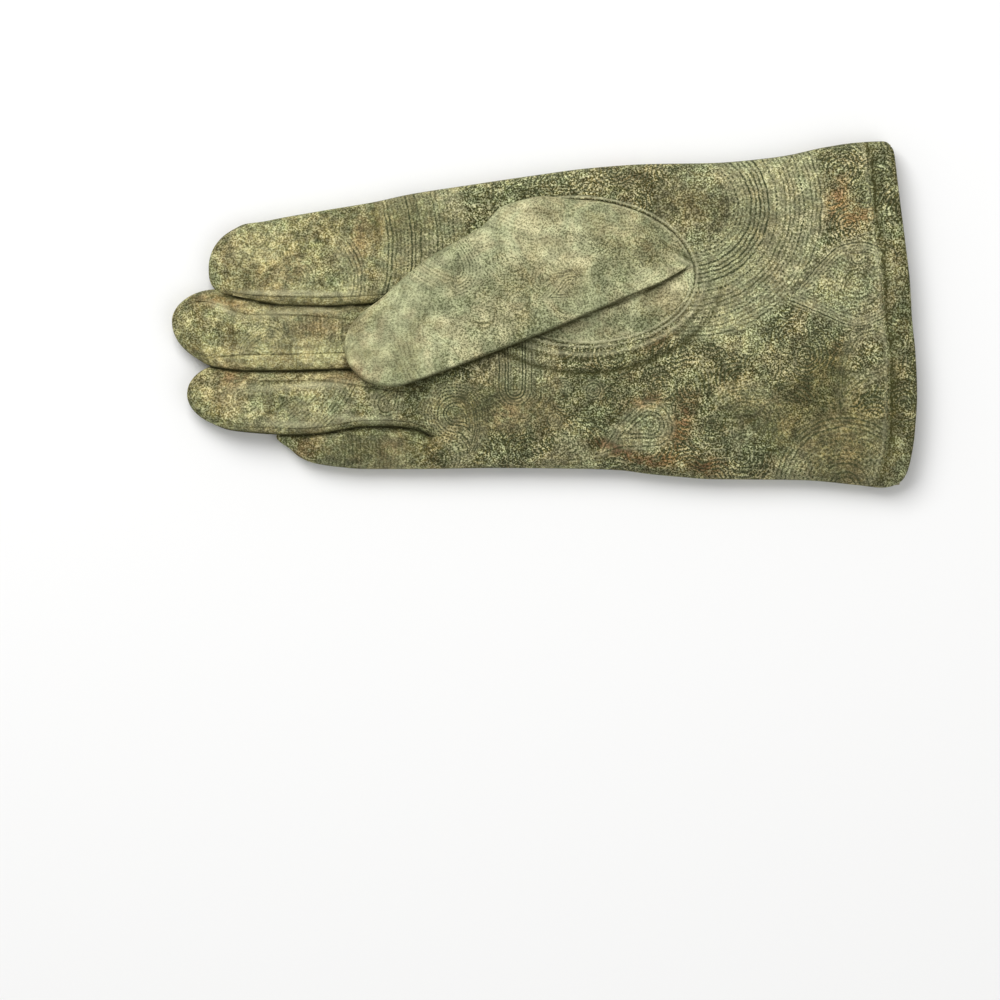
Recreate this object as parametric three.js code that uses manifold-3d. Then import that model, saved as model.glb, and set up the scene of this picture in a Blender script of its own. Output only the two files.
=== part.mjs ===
// A woman's suede dress glove for the right hand, lying on its back with the palm up.
// Millimetres. +X runs from the fingertips to the cuff, +Y towards the index side, +Z up.
// The origin is on the surface under the middle of the glove's outline.

import * as THREE from 'three';
import { LoftGeometry } from 'three/addons/geometries/LoftGeometry.js';
import { mergeVertices } from 'three/addons/utils/BufferGeometryUtils.js';
import Module from 'manifold-3d';

const wasm = await Module();
wasm.setup();

// Driving dimensions
const LEATHER = 1.1;
const GAP = 0.35;
const SEAM_GAP = 0.3;
const CUFF_END = 117.6;
const CUFF_BOW = 0.0017;
const CUFF_BOW_CENTRE = -8;
const BOW_START = 88;
const HEM_WIDTH = 9;
const HEM_LAYERS = 2;
const HOLLOW_OVERRUN = 6;
const ROUND_FINGER = 3.4;
const ROUND_PALM = 4.6;
const FINGER_POINTS = 18;
const PALM_POINTS = 32;
const LEAST_HALF = 0.35;
const MERGE_TOLERANCE = 1e-4;

// A leaning finger is lifted by this share of its lean, and every tube is set this far into the
// surface it lies on, which flattens its underside
const LEAN_LIFT = 0.3;
const FLATTENED = 0.15;

// The thumb hole in the palm, and the thumb's own axis from its tip towards the wrist
const HOLE = {
	x: 12, y: 13.5, halfLength: 35.8, halfWidth: 22.8, turn: THREE.MathUtils.degToRad( - 3 ),
	low: 6, high: 20, segments: 28,
};
const THUMB = { x: - 60.9, y: - 9.6, turn: THREE.MathUtils.degToRad( 21 ), seat: 10.9, deep: 5.5, opens: 2.2 };

// The raised seam round the thumb hole
const RIM = { width: 2, height: 0.6 };

// Fourchettes are the sides of the fingers between these heights, and this far in from the edge
const FOURCHETTE = { low: 2.2, high: 7.6, depth: 3.2, steps: 5 };

// Flattened tubes, a row for each section along X: the edge on the index side, the edge on the
// little-finger side, and the thickness. The lean lifts the little-finger side of a finger onto
// its neighbour and lowers the index side. The palm's thickness dips along the hem's stitches.
const SECTION_COLUMNS = ['x', 'high', 'low', 'thick', 'lean'];

const INDEX = [
	[ -105.6, 18.6, 14.4, 3.4, 0.0 ],
	[ -104.5, 21.2, 11.4, 6.0, 0.2 ],
	[ -102.0, 24.2, 8.3, 8.0, 0.5 ],
	[ -98.0, 27.0, 6.1, 9.2, 0.8 ],
	[ -91.0, 29.3, 4.5, 9.8, 0.9 ],
	[ -78.0, 31.8, 3.1, 10.0, 1.0 ],
	[ -60.0, 34.6, 2.9, 10.0, 1.0 ],
	[ -42.0, 38.0, 3.6, 10.4, 0.8 ],
	[ -32.0, 39.6, 4.0, 10.4, 0.4 ],
];

const MIDDLE = [
	[ -117.5, 1.4, -4.6, 3.4, 0.0 ],
	[ -116.4, 3.6, -7.6, 6.0, 0.2 ],
	[ -113.5, 6.0, -11.2, 8.0, 0.4 ],
	[ -109.0, 7.4, -14.2, 9.2, 0.7 ],
	[ -102.0, 7.6, -16.9, 9.8, 0.9 ],
	[ -90.0, 7.0, -17.9, 10.0, 1.0 ],
	[ -72.0, 6.4, -17.5, 10.0, 1.0 ],
	[ -52.0, 5.6, -17.2, 10.2, 0.9 ],
	[ -42.0, 5.0, -17.0, 10.4, 0.8 ],
	[ -32.0, 4.6, -16.8, 10.4, 0.4 ],
];

const RING = [
	[ -112.5, -22.4, -27.4, 3.4, 0.0 ],
	[ -111.3, -19.8, -30.0, 5.8, 0.2 ],
	[ -108.5, -17.2, -32.4, 7.8, 0.4 ],
	[ -103.5, -15.4, -34.8, 9.0, 0.7 ],
	[ -96.0, -14.6, -36.9, 9.6, 0.9 ],
	[ -84.0, -14.2, -37.9, 9.8, 1.0 ],
	[ -70.0, -14.2, -37.5, 10.0, 1.0 ],
	[ -56.0, -14.6, -35.6, 10.0, 0.9 ],
	[ -42.0, -15.2, -36.2, 10.2, 0.7 ],
	[ -32.0, -15.6, -37.0, 10.2, 0.4 ],
];

const LITTLE = [
	[ -84.5, -36.4, -39.6, 3.2, 0.0 ],
	[ -83.2, -34.8, -41.6, 5.4, 0.0 ],
	[ -80.4, -33.4, -44.2, 7.0, 0.2 ],
	[ -75.5, -32.6, -46.4, 8.2, 0.3 ],
	[ -67.0, -32.0, -47.9, 9.0, 0.4 ],
	[ -54.0, -31.6, -48.7, 9.4, 0.4 ],
	[ -42.0, -32.0, -48.8, 9.8, 0.3 ],
	[ -32.0, -33.0, -48.8, 10.0, 0.2 ],
];

const PALM = [
	[ -39.5, 38.4, -48.8, 10.4, 0.0 ],
	[ -23.0, 41.2, -48.8, 11.0, 0.0 ],
	[ -4.0, 44.0, -48.5, 11.2, 0.0 ],
	[ 15.0, 46.4, -48.7, 11.2, 0.0 ],
	[ 34.0, 47.8, -50.2, 11.0, 0.0 ],
	[ 53.0, 48.1, -51.8, 10.8, 0.0 ],
	[ 72.0, 49.7, -52.2, 10.6, 0.0 ],
	[ 90.0, 53.0, -52.9, 10.6, 0.0 ],
	[ 107.2, 54.8, -54.2, 10.8, 0.0 ],
	[ 108.8, 54.7, -54.4, 10.1, 0.0 ],
	[ 110.2, 54.8, -54.5, 10.9, 0.0 ],
	[ CUFF_END, 54.4, -54.8, 10.6, 0.0 ],
];

// The thumb along its own axis: both edges across it, and the height of its upper surface
const THUMB_COLUMNS = ['s', 'high', 'low', 'top'];

const THUMB_ROWS = [
	[ -3.0, -1.4, -6.0, 14.4 ],
	[ -1.8, 1.8, -9.0, 16.6 ],
	[ 1.0, 5.2, -12.4, 18.0 ],
	[ 5.0, 8.0, -15.2, 19.0 ],
	[ 11.0, 9.8, -17.2, 19.6 ],
	[ 22.0, 12.2, -18.0, 19.8 ],
	[ 37.0, 15.6, -18.0, 19.8 ],
	[ 52.0, 18.8, -18.0, 19.8 ],
	[ 62.0, 21.8, -18.0, 19.6 ],
	[ 72.0, 22.4, -18.0, 19.2 ],
	[ 82.0, 21.0, -18.0, 18.4 ],
	[ 91.0, 15.6, -18.0, 17.2 ],
	[ 98.0, 8.6, -18.0, 15.6 ],
	[ 104.5, 0.6, -18.0, 14.0 ],
	[ 108.4, -11.0, -18.0, 12.6 ],
];

const named = ( row, columns ) => Object.fromEntries( columns.map( ( name, i ) => [ name, row[ i ] ] ) );

// A point of a flattened tube's section, on a superellipse
function superellipsePoint( i, count, roundness ) {

	const angle = 2 * Math.PI * i / count;
	const shaped = ( v ) => Math.sign( v ) * Math.abs( v ) ** ( 2 / roundness );
	return [ shaped( Math.cos( angle ) ), shaped( Math.sin( angle ) ) ];

}

// How steeply a tube widens at a row, which turns the wall's offset towards its tip
function widening( rows, i, along ) {

	const before = rows[ Math.max( i - 1, 0 ) ];
	const after = rows[ Math.min( i + 1, rows.length - 1 ) ];
	return ( ( after.high - after.low ) - ( before.high - before.low ) ) / 2 / ( after[ along ] - before[ along ] );

}

const toManifold = ( geometry ) => {

	const bare = new THREE.BufferGeometry();
	bare.setAttribute( 'position', geometry.getAttribute( 'position' ) );
	bare.setIndex( geometry.getIndex() );
	const merged = mergeVertices( bare, MERGE_TOLERANCE );
	return new wasm.Manifold( new wasm.Mesh( {
		numProp: 3,
		vertProperties: new Float32Array( merged.attributes.position.array ),
		triVerts: new Uint32Array( merged.index.array ),
	} ) );

};

const loft = ( sections ) => toManifold( new LoftGeometry( sections, { capStart: true, capEnd: true } ) );

// The cuff's edge is bowed, so the last stretch of the glove is drawn out to it
function bowed( x, y ) {

	if ( x <= BOW_START ) return x;
	const end = CUFF_END - CUFF_BOW * ( y - CUFF_BOW_CENTRE ) ** 2;
	return BOW_START + ( x - BOW_START ) * ( end - BOW_START ) / ( CUFF_END - BOW_START );

}

// A flattened tube along X that lies on the surface, grown by an offset (or shrunk by a negative one)
function tube( table, roundness, points, grow ) {

	const rows = table.map( ( row ) => named( row, SECTION_COLUMNS ) );
	const floor = - grow;
	const sections = rows.map( ( row, i ) => {

		const slope = widening( rows, i, 'x' );
		const across = 1 / Math.hypot( 1, slope );
		const x = row.x - grow * slope * across;
		const half = Math.max( ( row.high - row.low ) / 2 + grow * across, LEAST_HALF );
		const deep = Math.max( row.thick / 2 + grow, LEAST_HALF );
		const middle = ( row.high + row.low ) / 2;
		const centre = row.thick / 2 + row.lean * LEAN_LIFT - FLATTENED;
		const section = [];
		for ( let k = 0; k < points; k ++ ) {

			const [ c, s ] = superellipsePoint( k, points, roundness );
			const y = middle + half * c;
			const z = Math.max( centre + deep * s - row.lean * c, Math.min( floor, centre ) );
			section.push( new THREE.Vector3( bowed( x, y ), y, z ) );

		}

		return section;

	} );
	return loft( sections );

}

const union = ( solids ) => solids.reduce( ( all, solid ) => all.add( solid ) );

// A finger tucked under the one before it gives way to that finger and the gap around it
function fingersGrownBy( grow ) {

	const finger = ( table, by ) => tube( table, ROUND_FINGER, FINGER_POINTS, by );
	const room = GAP - grow;
	const middle = finger( MIDDLE, grow ).subtract( finger( INDEX, room ) );
	const ring = finger( RING, grow ).subtract( finger( MIDDLE, room ) );
	const little = finger( LITTLE, grow ).subtract( finger( RING, room ) );
	return union( [ finger( INDEX, grow ), middle, ring, little ] );

}

function handGrownBy( grow ) {

	return fingersGrownBy( grow ).add( tube( PALM, ROUND_PALM, PALM_POINTS, grow ) );

}

// The hand with the raised seam round its thumb hole
function rimmedHandGrownBy( grow ) {

	const rim = holePrism( - RIM.width - grow ).subtract( holePrism( grow ) );
	return handGrownBy( grow ).add( handGrownBy( RIM.height + grow ).intersect( rim ) );

}

// The hollow runs from the fingertips out through the cuff, and narrows at the turned-in hem
function handHollow() {

	const hemStart = CUFF_END - HEM_WIDTH;
	const atCuff = PALM.at( - 1 ).slice( 1 );
	const beyond = [ CUFF_END + HOLLOW_OVERRUN, ...atCuff ];
	const trunk = tube( [ ...PALM, beyond ], ROUND_PALM, PALM_POINTS, - LEATHER );
	const throat = tube( [ [ hemStart, ...atCuff ], beyond ], ROUND_PALM, PALM_POINTS, - LEATHER * HEM_LAYERS );
	return fingersGrownBy( - LEATHER ).add( trunk.intersect( slab( hemStart ) ) ).add( throat );

}

// Everything up to a distance along the glove, with the cuff's own bow
function slab( end ) {

	const reach = 80;
	const steps = 24;
	const overlap = 0.01;
	const outline = new THREE.Shape();
	outline.moveTo( - 2 * reach, - reach );
	for ( let i = 0; i <= steps; i ++ ) {

		const y = - reach + 2 * reach * i / steps;
		outline.lineTo( bowed( end, y ) + overlap, y );

	}

	outline.lineTo( - 2 * reach, reach );
	const geometry = new THREE.ExtrudeGeometry( outline, { depth: reach, bevelEnabled: false } );
	geometry.translate( 0, 0, - reach / 2 );
	return toManifold( geometry );

}

// The upright oval of the thumb hole, shrunk all round by an offset (or grown by a negative one)
function holePrism( shrink ) {

	const outline = new THREE.Shape();
	const [ halfLength, halfWidth ] = [ HOLE.halfLength - shrink, HOLE.halfWidth - shrink ];
	outline.absellipse( HOLE.x, HOLE.y, halfLength, halfWidth, 0, 2 * Math.PI, false, HOLE.turn );
	const options = { depth: HOLE.high - HOLE.low, bevelEnabled: false, curveSegments: HOLE.segments };
	const geometry = new THREE.ExtrudeGeometry( outline, options );
	geometry.translate( 0, 0, HOLE.low );
	return toManifold( geometry );

}

// The thumb's tube in its folded place; its underside is at the given height
function thumbTube( grow, bottom ) {

	const rows = THUMB_ROWS.map( ( row ) => named( row, THUMB_COLUMNS ) );
	const sections = rows.map( ( row, i ) => {

		const slope = widening( rows, i, 's' );
		const across = 1 / Math.hypot( 1, slope );
		const s = row.s - grow * slope * across;
		const half = Math.max( ( row.high - row.low ) / 2 + grow * across, LEAST_HALF );
		const low = bottom - grow;
		const deep = Math.max( ( row.top + grow - low ) / 2, LEAST_HALF );
		const middle = ( row.high + row.low ) / 2;
		const section = [];
		for ( let k = 0; k < FINGER_POINTS; k ++ ) {

			const [ c, up ] = superellipsePoint( k, FINGER_POINTS, ROUND_FINGER );
			const t = middle + half * c;
			const x = THUMB.x + s * Math.cos( THUMB.turn ) - t * Math.sin( THUMB.turn );
			const y = THUMB.y + s * Math.sin( THUMB.turn ) + t * Math.cos( THUMB.turn );
			section.push( new THREE.Vector3( x, y, low + deep + deep * up ) );

		}

		return section;

	} );
	return loft( sections );

}

// The strip of space around the facing edges of two fingers, from near their tips into the crotch
function crotchSpace( upper, lower, start, grow ) {

	const a = upper.map( ( row ) => named( row, SECTION_COLUMNS ) );
	const b = lower.map( ( row ) => named( row, SECTION_COLUMNS ) );
	const edge = ( rows, x, column ) => {

		const i = Math.max( 1, rows.findIndex( ( row ) => row.x >= x ) );
		const [ p, q ] = [ rows[ i - 1 ], rows[ i ] ];
		return p[ column ] + ( q[ column ] - p[ column ] ) * ( x - p.x ) / ( q.x - p.x );

	};

	const from = start - grow;
	const end = PALM[ 0 ][ 0 ] + LEATHER + SEAM_GAP + grow;
	const sections = [];
	for ( let i = 0; i <= FOURCHETTE.steps; i ++ ) {

		const x = from + ( end - from ) * i / FOURCHETTE.steps;
		const top = edge( a, x, 'low' ) + FOURCHETTE.depth + grow;
		const bottom = edge( b, x, 'high' ) - FOURCHETTE.depth - grow;
		const [ low, high ] = [ FOURCHETTE.low - grow, FOURCHETTE.high + grow ];
		sections.push( [ [ top, low ], [ top, high ], [ bottom, high ], [ bottom, low ] ]
			.map( ( [ y, z ] ) => new THREE.Vector3( x, y, z ) ) );

	}

	return loft( sections );

}

const FOURCHETTES = [
	{ name: 'fourchette_index_middle', upper: INDEX, lower: MIDDLE, start: - 98 },
	{ name: 'fourchette_middle_ring', upper: MIDDLE, lower: RING, start: - 102 },
	{ name: 'fourchette_ring_little', upper: RING, lower: LITTLE, start: - 76 },
];

const largest = ( solid ) => solid.decompose().sort( ( p, q ) => q.volume() - p.volume() )[ 0 ];

// The leather of the hand: its outside less its hollow
const hand = rimmedHandGrownBy( 0 );
const hollow = handHollow();
const skin = hand.subtract( hollow );

const crotches = FOURCHETTES.map( ( f ) => ( {
	name: f.name,
	solid: largest( skin.intersect( crotchSpace( f.upper, f.lower, f.start, 0 ) ) ),
	room: crotchSpace( f.upper, f.lower, f.start, SEAM_GAP ),
} ) );

const trank = largest( crotches.reduce( ( s, c ) => s.subtract( c.room ), skin ).subtract( holePrism( 0 ) ) );

// The thumb stands on the oval that fills the hole, and lies on the palm and fingers beyond it
const cleared = rimmedHandGrownBy( GAP );
const inHole = holePrism( GAP );
const thumbOutside = thumbTube( 0, THUMB.seat ).subtract( cleared )
	.add( thumbTube( 0, THUMB.deep ).subtract( hollow ).intersect( inHole ) )
	.add( skin.intersect( inHole ) );
const thumbInside = thumbTube( - LEATHER, THUMB.seat ).subtract( rimmedHandGrownBy( GAP + LEATHER ) )
	.add( thumbTube( - LEATHER, THUMB.deep - THUMB.opens ).intersect( holePrism( GAP + LEATHER ) ) );
const thumb = largest( thumbOutside.subtract( thumbInside ) );

const SUEDE = {
	trank: { color: 0x8b8a63, roughness: 0.95 },
	thumb: { color: 0xa3a482, roughness: 0.95 },
	fourchette: { color: 0x98936a, roughness: 0.95 },
};

function piece( name, solid, look ) {

	const mesh = solid.getMesh();
	const geometry = new THREE.BufferGeometry();
	geometry.setAttribute( 'position', new THREE.BufferAttribute( mesh.vertProperties, 3 ) );
	geometry.setIndex( new THREE.BufferAttribute( mesh.triVerts, 1 ) );
	geometry.computeVertexNormals();
	const node = new THREE.Mesh( geometry, new THREE.MeshStandardMaterial( { ...look, metalness: 0 } ) );
	node.name = name;
	return node;

}

const glove = new THREE.Group();
glove.add( piece( 'trank', trank, SUEDE.trank ) );
glove.add( piece( 'thumb', thumb, SUEDE.thumb ) );
for ( const c of crotches ) glove.add( piece( c.name, c.solid, SUEDE.fourchette ) );

export default glove;
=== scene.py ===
"""A woman's suede dress glove for the right hand, printed with fine paisley lines, lying with its palm up.

The hand and the thumb are puffed sheets of leather. Each starts as flat grids, which are laid out over
the glove's plan and then swelled from their edges. Lengths here are millimetres, and the meshes are metres.
+X runs from the fingertips to the cuff, +Y towards the index side and +Z up out of the palm.
"""

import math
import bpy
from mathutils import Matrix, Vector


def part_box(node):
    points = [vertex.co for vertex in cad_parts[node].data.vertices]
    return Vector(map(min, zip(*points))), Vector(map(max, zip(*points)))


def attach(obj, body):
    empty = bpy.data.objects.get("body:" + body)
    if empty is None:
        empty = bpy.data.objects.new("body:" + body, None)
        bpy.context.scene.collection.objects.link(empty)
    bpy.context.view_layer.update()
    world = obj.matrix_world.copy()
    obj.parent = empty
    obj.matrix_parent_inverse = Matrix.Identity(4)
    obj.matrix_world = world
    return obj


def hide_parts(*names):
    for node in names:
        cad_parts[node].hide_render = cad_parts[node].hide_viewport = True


bl_info = {
    "name": "Suede Dress Glove",
    "version": (1, 0, 0),
    "blender": (4, 5, 0),
    "location": "3D View > Sidebar > Glove",
    "description": "A suede dress glove with a thumb folded over its palm and a fine paisley print",
    "category": "Add Mesh",
}

import bmesh
import bpy
import numpy as np
from bpy.props import FloatProperty, FloatVectorProperty, PointerProperty
from mathutils import Matrix, Vector, noise

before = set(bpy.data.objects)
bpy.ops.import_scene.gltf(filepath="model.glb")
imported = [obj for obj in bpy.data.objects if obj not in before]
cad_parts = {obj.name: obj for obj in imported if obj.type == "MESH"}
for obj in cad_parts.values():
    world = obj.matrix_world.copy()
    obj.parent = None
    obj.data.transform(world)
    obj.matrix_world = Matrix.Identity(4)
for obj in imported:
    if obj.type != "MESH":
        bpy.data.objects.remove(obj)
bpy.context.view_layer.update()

MM = 0.001
CUFF_REACH = (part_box("trank")[1] / MM).x


def table(columns, *rows):
    """Rows of values by the names of their columns. A short row has nothing in its last columns."""
    return tuple(dict(zip(columns.split(), row)) for row in rows)


# The sheets of the hand: their middle height, the upper one's height on the palm and on the fingers, the
# height of a free edge, how far the lower one is swelled down, how wide and how square the rounding of an
# edge is, and the height of the slight crown
MIDDLE_HEIGHT = 4.8
PALM_TOP = 10.6
FINGER_TOP = 10.0
FREE_EDGE = 4.3
UNDER_SWELL = 7.0
EDGE_RADIUS = 7.5
EDGE_ROUND = 2.2
CROWN = 0.5

# Along the glove, where the fingers turn into the palm, and a distance that is too far to count
KNUCKLES = (-45.0, -25.0)
FAR = 30.0

# What lies on the hand is lower than the first of these, and what lies in its slits lower than the second
HAND_TOP = 12.5
SLIT_TOP = 11.3

# Where one finger lies on the next, its edge is lifted and the other's is tucked by these shares of the
# overlap, as far in as the reach, and a gap is left between the two
LIFT = 0.6
TUCK = 0.4
EDGE_REACH = 9.0
LAYER_GAP = 0.25

# An overlap grows over these distances past the upper finger's tip, and its layers are kept apart up to
# these distances before the crotch
OVERLAP_GROWS = (1, 7)
OVERLAP_ENDS = (-10, -0.5)

# How far from an edge the relief has its full height, and the share of it that the back of the hand keeps
RELIEF_REACH = 3.0
BACK_RELIEF = 0.5

# How near to each other the vertices of the hand's grids, and of the thumb's, are joined
HAND_JOIN = 0.004
THUMB_JOIN = 0.006

# Edges that are bent by more than this are shaded as sharp
SHARP_BEND = math.radians(65.0)

# Edges of the hand in plan, as (x, y): on the index side, and on the little-finger side
HIGH_SIDE = (
    (-106.0, 27.4), (-98.7, 27.8), (-94.0, 28.9), (-89.3, 29.5), (-82.0, 30.9), (-69.4, 33.1), (-53.3, 35.8),
    (-42.3, 38.2), (-23.0, 41.2), (-4.1, 44.0), (14.8, 46.5), (33.7, 47.8), (52.7, 48.1), (71.6, 49.7),
    (91.4, 53.1), (104.5, 54.6), (114.6, 55.0), (116.7, 54.5), (117.5, 53.3),
)
LOW_SIDE = (
    (-84.5, -42.3), (-80.4, -43.6), (-77.3, -45.7), (-72.5, -46.9), (-64.3, -48.1), (-56.5, -48.7),
    (-40.4, -48.7), (-13.6, -48.4), (14.8, -48.7), (24.3, -49.1), (33.7, -50.3), (43.2, -51.2),
    (52.7, -51.9), (81.0, -52.2), (103.0, -53.8), (113.5, -54.6), (116.3, -54.2), (117.5, -53.0),
)

# The slits between the fingers: the upper finger's low edge, the lower finger's high edge, the crotch,
# the width of the fourchette that shows on each, and where along the glove the fourchette starts
SLITS = (
    {
        "piece": "fourchette_index_middle",
        "upper": ((-106.0, 5.3), (-98.7, 6.0), (-94.0, 5.0), (-89.3, 4.0), (-82.3, 3.0), (-69.4, 2.7),
                  (-53.3, 3.4), (-42.3, 3.9)),
        "lower": ((-118.0, 7.6), (-112.8, 7.9), (-107.9, 8.1), (-98.0, 8.2), (-82.0, 8.0), (-69.0, 7.4),
                  (-55.0, 5.8), (-46.0, 4.3), (-42.3, 3.9)),
        "crotch": -42.3, "upper_width": 2.6, "lower_width": 8.2, "start": -98.0,
    },
    {
        "piece": "fourchette_middle_ring",
        "upper": ((-118.0, -14.2), (-110.4, -14.9), (-103.8, -16.6), (-93.4, -17.8), (-82.3, -17.8),
                  (-71.0, -17.5), (-61.2, -17.2), (-44.5, -16.9)),
        "lower": ((-112.6, -15.2), (-106.0, -15.3), (-100.0, -14.6), (-84.0, -13.6), (-70.0, -13.6),
                  (-58.0, -15.2), (-44.5, -16.9)),
        "crotch": -44.5, "upper_width": 5.2, "lower_width": 7.4, "start": -104.0,
    },
    {
        "piece": "fourchette_ring_little",
        "upper": ((-112.6, -34.5), (-105.5, -35.0), (-97.5, -36.7), (-87.0, -37.7), (-78.9, -38.0),
                  (-71.0, -37.7), (-64.3, -36.6), (-56.5, -35.5), (-48.3, -35.4), (-43.5, -35.8),
                  (-39.4, -36.7), (-35.7, -38.4)),
        "lower": ((-84.5, -33.6), (-78.0, -32.9), (-70.0, -32.5), (-60.0, -31.6), (-52.0, -31.6),
                  (-44.0, -33.5), (-39.4, -35.6), (-35.7, -38.4)),
        "crotch": -35.7, "upper_width": 1.9, "lower_width": 6.5, "start": -80.0,
    },
)

# How far past its crotch a fourchette runs, and from where on the hand's columns are even
CROTCH_END = 2.2
COLUMNS_EVEN = 16.0

# The strip along the hand's outer edges, how far across a strip its last column lies before the seam, how
# narrow a strip starts, over which distance from the fingertip it widens, and below which width of the
# finger it is narrower
OUTER_STRIP = 5.0
BESIDE_SEAM = 0.93
STRIP_LEAST = 0.3
STRIP_WIDENS = (4, 26)
SLIM_FINGER = 17.0

# The fingers' seams: the groove's depth, and the low ridges' heights by how many columns beside it they lie.
# They start and end softly, over these distances past the fingertip and past the crotch.
SEAM_GROOVE = 0.34
SEAM_RIDGES = {1: 0.1, 2: 0.14, 3: 0.06}
SEAM_STARTS = 8.0
SEAM_ENDS = (1, 5)

# Fingertips: the tip's place, how long its rounding is and how square it is on its low side and its high one
FINGERS = table(
    "x y length square_low square_high",
    (-105.8, 15, 12, 2.8, 2),
    (-117.4, -2, 14, 2, 2),
    (-112.6, -25, 13, 2, 2),
    (-84.4, -38.5, 14, 2, 2),
)
TIP_SLIM = 0.72
TIP_TAPER = 24

# The cuff's edge, as (y, x), and where along the glove the columns start to be drawn out to it
CUFF = (
    (-54.6, 110.8), (-52.6, 113.0), (-48.0, 115.0), (-37.0, 116.8), (-25.0, CUFF_REACH), (-12.5, 117.0),
    (-1.4, 115.9), (10.6, 115.2), (19.5, 114.2), (33.6, 112.4), (43.4, 111.2), (51.0, 110.4), (54.6, 109.8),
)
BOW_START = 80.0

# Rows of the grids along the hand
ROW_STRETCHES = table(
    "start end spacing",
    (-50, -25.8, 1.1),
    (-25.8, 52.2, 0.8),
    (52.2, 103.5, 1.3),
    (103.5, 117.5, 0.5),
)
TIP_ROWS = 18
FINGER_ROW = 1.0

# Columns of the grids for each finger's share of the hand: the strip at an edge and the panel between
PALM_SIDE = {"strip": 8, "panels": (28, 18, 14, 10), "crowding": 1.6}
BACK_SIDE = {"strip": 4, "panels": (9, 7, 6, 4), "crowding": 1.8}
SEAM_COLUMNS = (0.45, 0.7)

# The hem rolls over the cuff's edge and runs back inside. The roll's radius is at most this share of the
# cuff's height.
HEM_ROLL = 1.15
HEM_ROLL_SHARE = 0.13
HEM_ROLL_REACH = 0.45
HEM_ROLL_STEPS = 5
HEM_BACK = (2.5, 5.5, 8.6)

# The hem's row of stitches: its distance back from the cuff's edge, the thread and where it ends
HEM_STITCHES = {"back": 8.0, "radius": 0.25, "end_margin": 2.5}

# The slow wave and the quick one in which the hem's sewn line strays
HEM_STRAYS = table("by rate start", (0.25, 0.23, 1), (0.12, 0.9, 0))

# The hem's sewn groove, and its swellings and puckers with their distance back from the cuff's edge
HEM_GROOVE = {"width": 0.6, "depth": 0.7}
HEM_SWELLINGS = table("back width height", (5, 1.9, 0.25), (10.6, 1.4, 0.12))
PUCKERS = {"back": 7.4, "width": 2.6, "height": 0.15, "length": 3.7}

# The thumb hole, how near its rim the leather's edge is moved onto it, and a distance from the rim that is
# given to every place where its seam doesn't show
HOLE = {"x": 12.0, "y": 13.5, "half_length": 35.8, "half_width": 22.8, "turn": math.radians(-3.0)}
HOLE_FIT = 2.5
HIDDEN_RIM = -60.0

# Across the thumb hole, in its half widths, where its index side turns into its little-finger side
HOLE_SIDES = (-0.35, 0.5)

# Ridges and grooves round the thumb hole: distance from its edge, width, height, and how much it keeps to
# the side nearer the little finger
HOLE_RIDGES = table(
    "away width height one_side",
    (0.7, 0.5, 0.6, 0),
    (2, 0.6, -0.16, 0.75),
    (3.3, 0.9, 0.25, 0.3),
    (4.9, 0.6, -0.45, 0.6),
    (6.9, 1.2, 0.55, 0.9),
    (9.1, 0.8, -0.65, 1),
)

# Soft waves of the leather: their height, their size and a number that sets their place
PALM_WAVES = table("height size seed", (0.34, 23, 1), (0.14, 7.5, 2))
THUMB_WAVES = table("height size seed", (0.4, 17, 5), (0.12, 5, 6))
GUSSET_WAVES = table("height size seed", (0.25, 6, 8))

# Dents and soft ridges of the palm side: place, turn in degrees, half length, half width and height, and how
# far a ridge's crest is painted pale, as wear and as a painted highlight
DENTS = table(
    "x y turn long wide height worn",
    (-108.5, -2.6, -38, 6, 1.5, -0.9),
    (-107, 1.2, -24, 6.5, 1.2, 0.35),
    (-98, -7.5, 12, 9, 2, -0.3),
    (-86, -27.5, 4, 14, 1.6, -0.3),
    (-104, -21.5, 18, 6, 1.6, -0.45),
    (-56, -33.2, -4, 11, 1.1, 0.4, 0.7),
    (-78, -34.8, -3, 10, 1.1, 0.3, 0.6),
    (-76, -22.5, 4, 16, 0.9, 0.4, 0.8),
    (-101.5, 2.2, -24, 5, 0.9, 0.4, 0.8),
    (-77, 0.9, 6, 17, 0.9, 0.45, 0.8),
    (-78, 6.6, -1, 22, 0.8, 0.25, 0.9),
    (-34, -37, -52, 7, 1.5, 0.45),
    (-30.5, -39.4, -30, 6.5, 1.2, -0.7),
    (8, -18.4, 4, 16, 1.5, -0.45),
    (36, -15, 28, 10, 1.6, -0.25),
    (-92, 21, 15, 9, 2.2, -0.25),
    (-74, 12, -20, 10, 2.2, 0.2),
    (60, -30, 35, 16, 3, -0.22),
    (85, 30, -60, 14, 3, 0.2),
)

# The thumb's own frame: its tip, and its turn from +X. Distances along it are s and across it t.
THUMB = {"x": -60.9, "y": -9.6, "turn": math.radians(21.0)}
THUMB_TIP = {"s": -2.6, "t": -4.0, "length": 15.0, "square": 2.1}

# Heights of the thumb's underside and of its seam, how far its two edges stand over its underside, how
# sharply it is folded and how far its fold is tucked back
THUMB_UNDER = 11.5
THUMB_SEAM = 10.5
HIGH_NOSE = 0.9
FOLD_NOSE = 2.7
FOLD_RADIUS = 1.2
PLEAT = 7.0

# Along the thumb: where its high edge runs into the seam, where its fold rises, and where it starts to close
THUMB_SEWN = (70, 84)
FOLD_RISES = (2, 16)
THUMB_CLOSES = 96

# The rounding of the thumb's high edge where it is open and where it is sewn, how much lower its crown is
# towards the fold, how far its columns crowd towards both edges, how far up the fold the pleat's far edge
# lies, and how far the gusset behind the pleat arches
HIGH_ROUNDING = (5.5, 14.5)
CROWN_FALLS = 0.32
THUMB_CROWDING = 0.45
PLEAT_RISE = 0.45
GUSSET_ARCH = 0.7

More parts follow.
